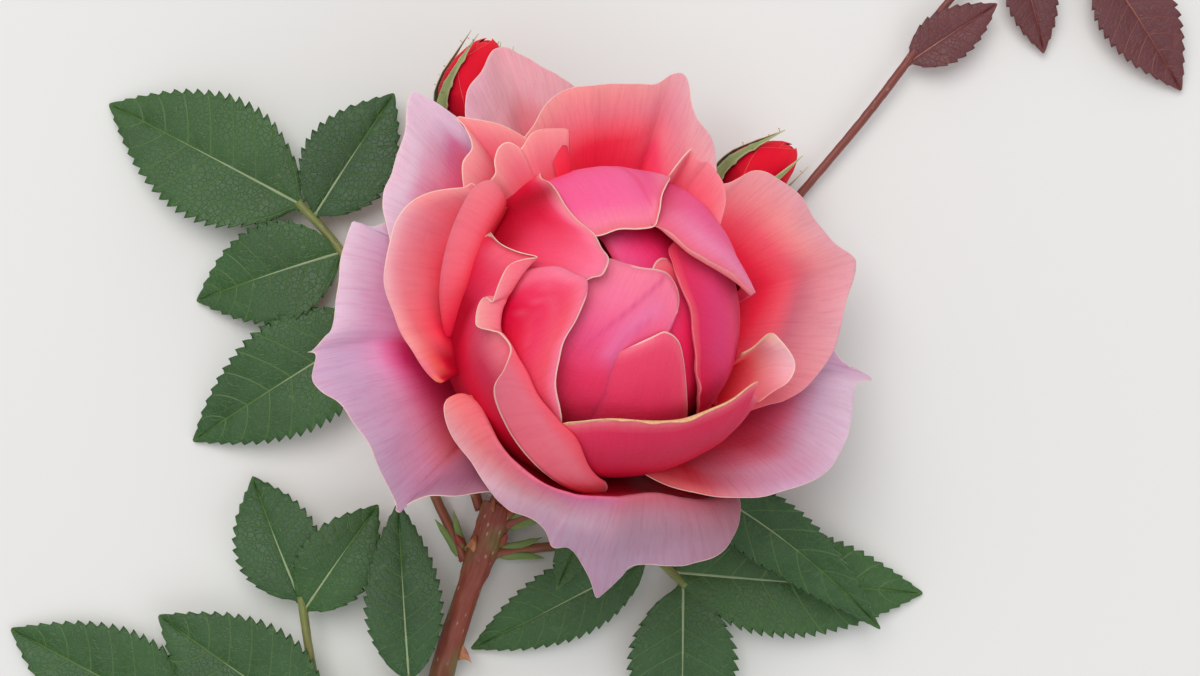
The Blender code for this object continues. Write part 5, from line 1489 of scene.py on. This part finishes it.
# ---- Leaves ----
# Compound leaves of two to five oval leaflets: leathery dark green blades with a bloom of
# wax, saw-toothed edges and sunk veins, pale underneath, on a grooved stalk with a pair
# of narrow stipules at its foot. The youngest leaf is still dark red.
LEAF_DARK = screen(38, 76, 34)
LEAF_FRESH = screen(60, 102, 40)
LEAF_PALE = screen(146, 166, 122)
YOUNG_RED = screen(96, 44, 48)
YOUNG_PALE = screen(146, 90, 78)
YOUNG_STALK = screen(120, 52, 48)
VEINS_PER_SIDE = 8
TEETH = 19
TEETH_LENGTH = 42.0
FOLD = 0.12
BLADE_THICKNESS, STIPULE_THICKNESS, STIPULE_LENGTH = 0.3, 0.25, 9.0
LOWEST = 0.25
LEAFLET_OUTLINE = [(0.0, 0.10), (0.03, 0.14), (0.12, 0.57), (0.30, 0.95), (0.50, 0.98),
                   (0.70, 0.74), (0.87, 0.37), (1.0, 0.02)]


def leaflet(root, tip, half_width, arch=2.0, tilt=0.0, sweep=0.0, seed=1, top=LEAF_DARK,
            under=LEAF_PALE):
    """One saw-toothed blade with its midrib, arched by arch, folded along the midrib,
    rolled by tilt degrees and bowed by sweep; lengths in millimetres."""
    dice = np.random.default_rng(seed)
    root, tip = np.array(root, float) - BASE_CENTRE, np.array(tip, float) - BASE_CENTRE
    length = np.linalg.norm(tip - root)
    ahead = unit(tip - root)
    side = unit(np.cross(UP, ahead))
    up = np.cross(ahead, side)
    angle = np.radians(tilt)
    side, up = (np.cos(angle) * side + np.sin(angle) * up,
                np.cos(angle) * up - np.sin(angle) * side)
    teeth = max(9, int(TEETH * length / TEETH_LENGTH))
    t = np.linspace(0, 1, teeth * 4 + 1)
    width = half_width * np.interp(t, *curve(LEAFLET_OUTLINE, 200).T)
    half = np.array((0.05, 0.15, 0.36, 0.58, 0.78, 0.93, 1.0))
    s = np.concatenate([-half[::-1], [0.0], half])
    # the rim's teeth point forward; the rows of points just inside follow them halfway
    phase = (t * teeth + 0.02) % 1.0
    notch = np.where(np.abs(s) > 0.99, 1.0, np.where(np.abs(s) > 0.9, 0.45, 0.0))
    depth = (0.16 - 0.04 * t) * (1 - phase) ** 1.3 * (t > 0.06) * (t < 0.985)
    reach = s[None] * (1 - depth[:, None] * notch[None])
    shift = 0.9 * (phase - 0.5)[:, None] * notch[None] * (t > 0.06)[:, None]
    middle = (root + (tip - root) * t[:, None]
              + 4 * (t * (1 - t))[:, None] * (arch * up + sweep * side))
    # v counts the side veins, and the blade puffs up between them
    fan = np.interp(t, (0, 0.15, 1), (0.2, 1, 0.6))[:, None]
    v = (t * (VEINS_PER_SIDE + 0.6))[:, None] - 1.7 * np.abs(reach) ** 1.25 * fan
    puff = (np.abs(np.sin(np.pi * v)) ** 0.7 * (1 - np.abs(reach) ** 5)
            * np.minimum(1, np.abs(reach) / 0.2))
    grid = (middle[:, None] + (reach * width[:, None])[..., None] * side
            + (shift * np.minimum(1, width / 3)[:, None])[..., None] * ahead)
    rise = (FOLD * np.abs(reach) * width[:, None] - 0.05 * width[:, None] * reach ** 4
            + 0.20 * puff + 0.35 * np.abs(reach) ** 2 * wobble(grid, 12.0, seed)
            - 0.18 * np.exp(-(reach / 0.07) ** 2))
    grid = grid + rise[..., None] * up
    grid[..., 2] = np.maximum(grid[..., 2], LOWEST)
    edge = (1 - np.abs(reach)) * width[:, None]
    lay = np.stack([reach * width[:, None], (t * length)[:, None] + 0 * reach, v], -1)
    shade = (1 + 0.10 * wobble(grid, 16.0, seed + 2) + dice.uniform(-0.08, 0.08))[..., None]
    normal = sheet_normal(grid)
    normal = normal * np.sign((normal * up).sum(-1, keepdims=True))
    blade = blade_skin(grid, top * shade, under * shade, BLADE_THICKNESS, lay, edge, normal)
    rib = np.column_stack([middle + BASE_CENTRE - 0.30 * up,
                           np.interp(t, (0, 0.1, 1), (0.75, 0.5, 0.12))])[::4]
    rib[:, 2] = np.maximum(rib[:, 2], rib[:, 3])
    pale = [(0, under), (100, under)]
    return blade, stalk(rib, (pale, pale), sides=8, step=1.5, seed=seed)


def leaf_tissue(tree, given):
    """Midrib, side veins and fine net sunk in a waxy, mottled blade."""
    part = put(tree, "ShaderNodeSeparateXYZ", [(0, given["Lay"])]).outputs
    flat = put(tree, "ShaderNodeCombineXYZ", [("X", part["X"]), ("Y", part["Y"])]).outputs[0]
    midrib = within(tree, sum_of(tree, "ABSOLUTE", part["X"]), 0.34)
    step = sum_of(tree, "FRACT", sum_of(tree, "ADD", part["Z"], 20.0))
    near = sum_of(tree, "MINIMUM", step, sum_of(tree, "SUBTRACT", 1.0, step))
    vein = within(tree, near, 0.055)
    net = put(tree, "ShaderNodeTexVoronoi", [("Vector", flat), ("Scale", 0.9)],
              feature="DISTANCE_TO_EDGE").outputs["Distance"]
    net = within(tree, net, 0.09)
    mottle, grain = noise_of(tree, flat, 0.22, 5.0), noise_of(tree, flat, 4.0)
    wax = above(tree, mottle, 0.38, 2.6)
    colour = blend_of(tree, wax, given["Tint"], given["Wax Colour"], share=given["Wax"])
    colour = blend_of(tree, grain, colour, (0.78, 0.82, 0.74, 1), "MULTIPLY", 0.35)
    lines = sum_of(tree, "MAXIMUM", midrib, sum_of(tree, "MULTIPLY", vein, 0.6))
    rim = within(tree, given["Edge"], 0.28)
    for factor, share in ((net, 0.18), (lines, 0.75), (rim, 0.45)):
        colour = blend_of(tree, factor, colour, given["Vein Colour"], share=share)
    sunk = sum_of(tree, "MAXIMUM", lines, sum_of(tree, "MULTIPLY", net, 0.35))
    return (colour, weighed(tree, (grain, 0.25), (sunk, -1.0)),
            weighed(tree, (wax, 0.22), (grain, 0.1), start=0.34))


LEAF_TISSUE = tissue_group("leaf_tissue", [("Tint", "colour"), ("Lay", "vector"),
                                           ("Edge", "value"), ("Vein Colour", "colour"),
                                           ("Wax Colour", "colour"), ("Wax", "value")],
                           leaf_tissue)


def leaf_material(name, vein_colour, wax_colour, wax):
    """Leathery leaf skin with its own veins and wax."""
    return tissue_material(name, LEAF_TISSUE,
                           [("Vein Colour", (*vein_colour, 1)),
                            ("Wax Colour", (*wax_colour, 1)), ("Wax", wax)], 0.6, 0.0003,
                           [("Specular IOR Level", 0.45), ("Subsurface Weight", 0.1),
                            ("Subsurface Radius", (0.4, 1.0, 0.2)),
                            ("Subsurface Scale", 0.0008)])


LEAF_GREEN = leaf_material("leaf_leather", screen(100, 130, 66), screen(76, 112, 76), 0.32)
LEAF_YOUNG = leaf_material("young_leaf_leather", screen(150, 84, 70), screen(112, 70, 82),
                           0.4)
STALK_TINTS = ([(0, STEM_GREEN), (100, STEM_PALE)],
               [(0, STEM_RED), (40, 128, 92, 58), (100, STEM_GREEN)])
YOUNG_TINTS = ([(0, YOUNG_STALK), (100, YOUNG_STALK)], [(0, STEM_RED), (100, YOUNG_STALK)])


def stipule(foot, radius, ahead, way):
    """A narrow green strap along one side of a leaf stalk's foot."""
    t, s = np.linspace(0, 1, 24), np.linspace(-1, 1, 5)
    side = unit(np.cross(ahead, UP))
    lift = np.cross(side, ahead)
    middle = (foot + (t * STIPULE_LENGTH)[:, None] * ahead
              + way * (radius * 0.8 + 1.3 * t ** 2)[:, None] * side
              + (0.5 + 0.4 * np.sin(np.pi * t))[:, None] * lift)
    width = np.interp(t, (0, 0.15, 0.7, 1.0), (0.5, 0.9, 0.7, 0.05))
    grid, edge, lay = strap(middle, side, width, s, STIPULE_LENGTH)
    grid[..., 2] = np.maximum(grid[..., 2], 0.3)
    tone = SEPAL_BACK + 0 * grid
    return blade_skin(grid, tone, tone, STIPULE_THICKNESS, lay, edge, sheet_normal(grid))


def compound(name, path, blades, seed, young=False):
    """One compound leaf: its blades, and its stalk with stipules, replace the node."""
    dice = np.random.default_rng(seed)
    skins, stems = [], []
    for k, (root, tip, half_width, shape) in enumerate(blades):
        shades = ({"top": YOUNG_RED, "under": YOUNG_PALE} if young else
                  {"top": LEAF_DARK + (LEAF_FRESH - LEAF_DARK) * dice.uniform(0, 0.5)})
        blade, rib = leaflet(root, tip, half_width, seed=seed * 10 + k, **shape, **shades)
        skins.append(blade)
        stems.append(rib)
    piece_from(name + "_blades", skins, LEAF_YOUNG if young else LEAF_GREEN, [name])
    foot, radius = np.array(path[0][:3], float), path[0][3]
    back = unit(foot - np.array(path[1][:3], float))
    stems.append(stalk([(*(foot + 0.9 * back), radius * 1.25)] + path,
                       YOUNG_TINTS if young else STALK_TINTS, sides=14, step=0.8,
                       seed=seed, ridges=0.05))
    if not young:
        stems += [stipule(foot - BASE_CENTRE, radius, -back, way) for way in (-1, 1)]
    piece_from(name + "_stalk", stems, GREEN_STEM, [name])


compound(
    "left_leaf",
    [(-28.9, -41.2, 4.4, 1.1), (-36, -26, 4, 1), (-41.5, -8, 4.2, 1), (-46.5, 8, 5.2, 0.9),
     (-54, 21.5, 6, 0.9), (-64, 33, 6.2, 0.9)],
    [((-63, 32.2, 6.2), (-105.5, 55, 1.2), 14.5, {}),
     ((-60.5, 30, 6.2), (-44, 56.5, 5), 10.5, {"arch": 1}),
     ((-54.6, 22.3, 6), (-86, 12.5, 1.4), 11.5, {"arch": 2.5}),
     ((-46, 7.6, 5.2), (-86.3, -17.4, 1.2), 13, {"arch": 3}),
     ((-46, 7, 5.2), (-23, 25, 11), 8, {"arch": 2})], 31)
compound(
    "lower_left_leaf",
    [(-45.95, -110, 4, 1.2), (-51, -97, 5.2, 1.1), (-55.5, -82, 6.4, 1), (-59.5, -66, 7, 0.9),
     (-62.2, -50, 7.2, 0.9)],
    [((-62.2, -51, 7.2), (-73.5, -25, 2), 9.5, {}), ((-61.6, -53, 7.1), (-46.5, -31, 6), 8.5, {}),
     ((-56.5, -78, 6.5), (-92, -54, 5.5), 13, {"arch": 2}),
     ((-51.5, -95, 5.2), (-80, -101, 6.6), 10.5, {"arch": 2.5}),
     ((-55, -84, 6.2), (-45.6, -68.5, 9.5), 5, {"arch": 0.5})], 32)
compound(
    "far_left_leaf",
    [(-48.2, -137.2, 3.2, 1.2), (-57, -125, 2.2, 1.1), (-68, -110, 1.6, 1), (-76.5, -94, 1.6, 0.9),
     (-83.5, -77, 2, 0.9)],
    [((-83, -78, 1.9), (-124, -57, 0.9), 12.5, {"arch": 1}),
     ((-79.5, -87, 1.7), (-117, -97, 0.9), 11, {"arch": 1.5}),
     ((-69.5, -107.6, 1.6), (-105, -120, 0.9), 11, {"arch": 1.5}),
     ((-66.5, -112, 1.6), (-78, -146, 0.9), 10, {"arch": 1.5})], 33)
compound(
    "upper_leaf",
    [(-42, -91, 6.6, 1.1), (-42.5, -83, 9, 1), (-41, -74, 10.6, 0.9), (-39, -66, 10.8, 0.9)],
    [((-39.2, -67.5, 10.8), (-42, -30.5, 9), 8.5, {"arch": 1.5}),
     ((-41.5, -76.5, 10.2), (-25, -68, 11.5), 5.5, {"arch": 0.5})], 34)
compound(
    "right_leaf",
    [(-20.8, -40.9, 4.6, 1.1), (-8, -39.5, 3.6, 1), (4, -40, 3.8, 1), (12, -42.5, 4.4, 0.9),
     (18, -48, 4.8, 0.9)],
    [((17.4, -47.2, 4.8), (17, -88, 1), 12, {}),
     ((10, -42, 4.2), (-27, -61, 2.2), 8.5, {"arch": 2, "tilt": -8}),
     ((15, -45, 4.6), (68, -49.5, 1), 12, {"arch": 2.5})], 35)
compound(
    "curled_leaf", [(-18.9, -34.9, 6.1, 1.1), (-9, -31, 9, 1), (2, -26.5, 11, 1), (13, -22, 12, 0.9)],
    [((12, -22.4, 12), (58, -56.5, 8.6), 8, {"arch": 3, "tilt": 22, "sweep": 4}),
     ((5, -25.4, 11.4), (38, -7, 6), 8, {"arch": 2}),
     ((0, -27.2, 10.8), (-9, -48.5, 9.5), 5, {"arch": 1})], 36)
compound(
    "young_leaf",
    [(7.2, 5, 2.6, 0.9), (16, 8.6, 2, 0.9), (28, 18, 2.4, 0.9), (43.3, 35.9, 3, 0.9), (56, 51, 3.4, 0.9),
     (66, 64, 4, 0.9), (76, 78, 4.2, 0.8), (91, 88, 4.2, 0.8), (108, 86, 4, 0.8)],
    [((66, 63.4, 3.9), (85, 76, 5), 6, {"arch": 1}), ((90, 87.4, 4.2), (95.5, 66, 2), 6, {"arch": 1}),
     ((107, 86, 4), (125, 58, 1.2), 9, {"arch": 2})], 37, young=True)
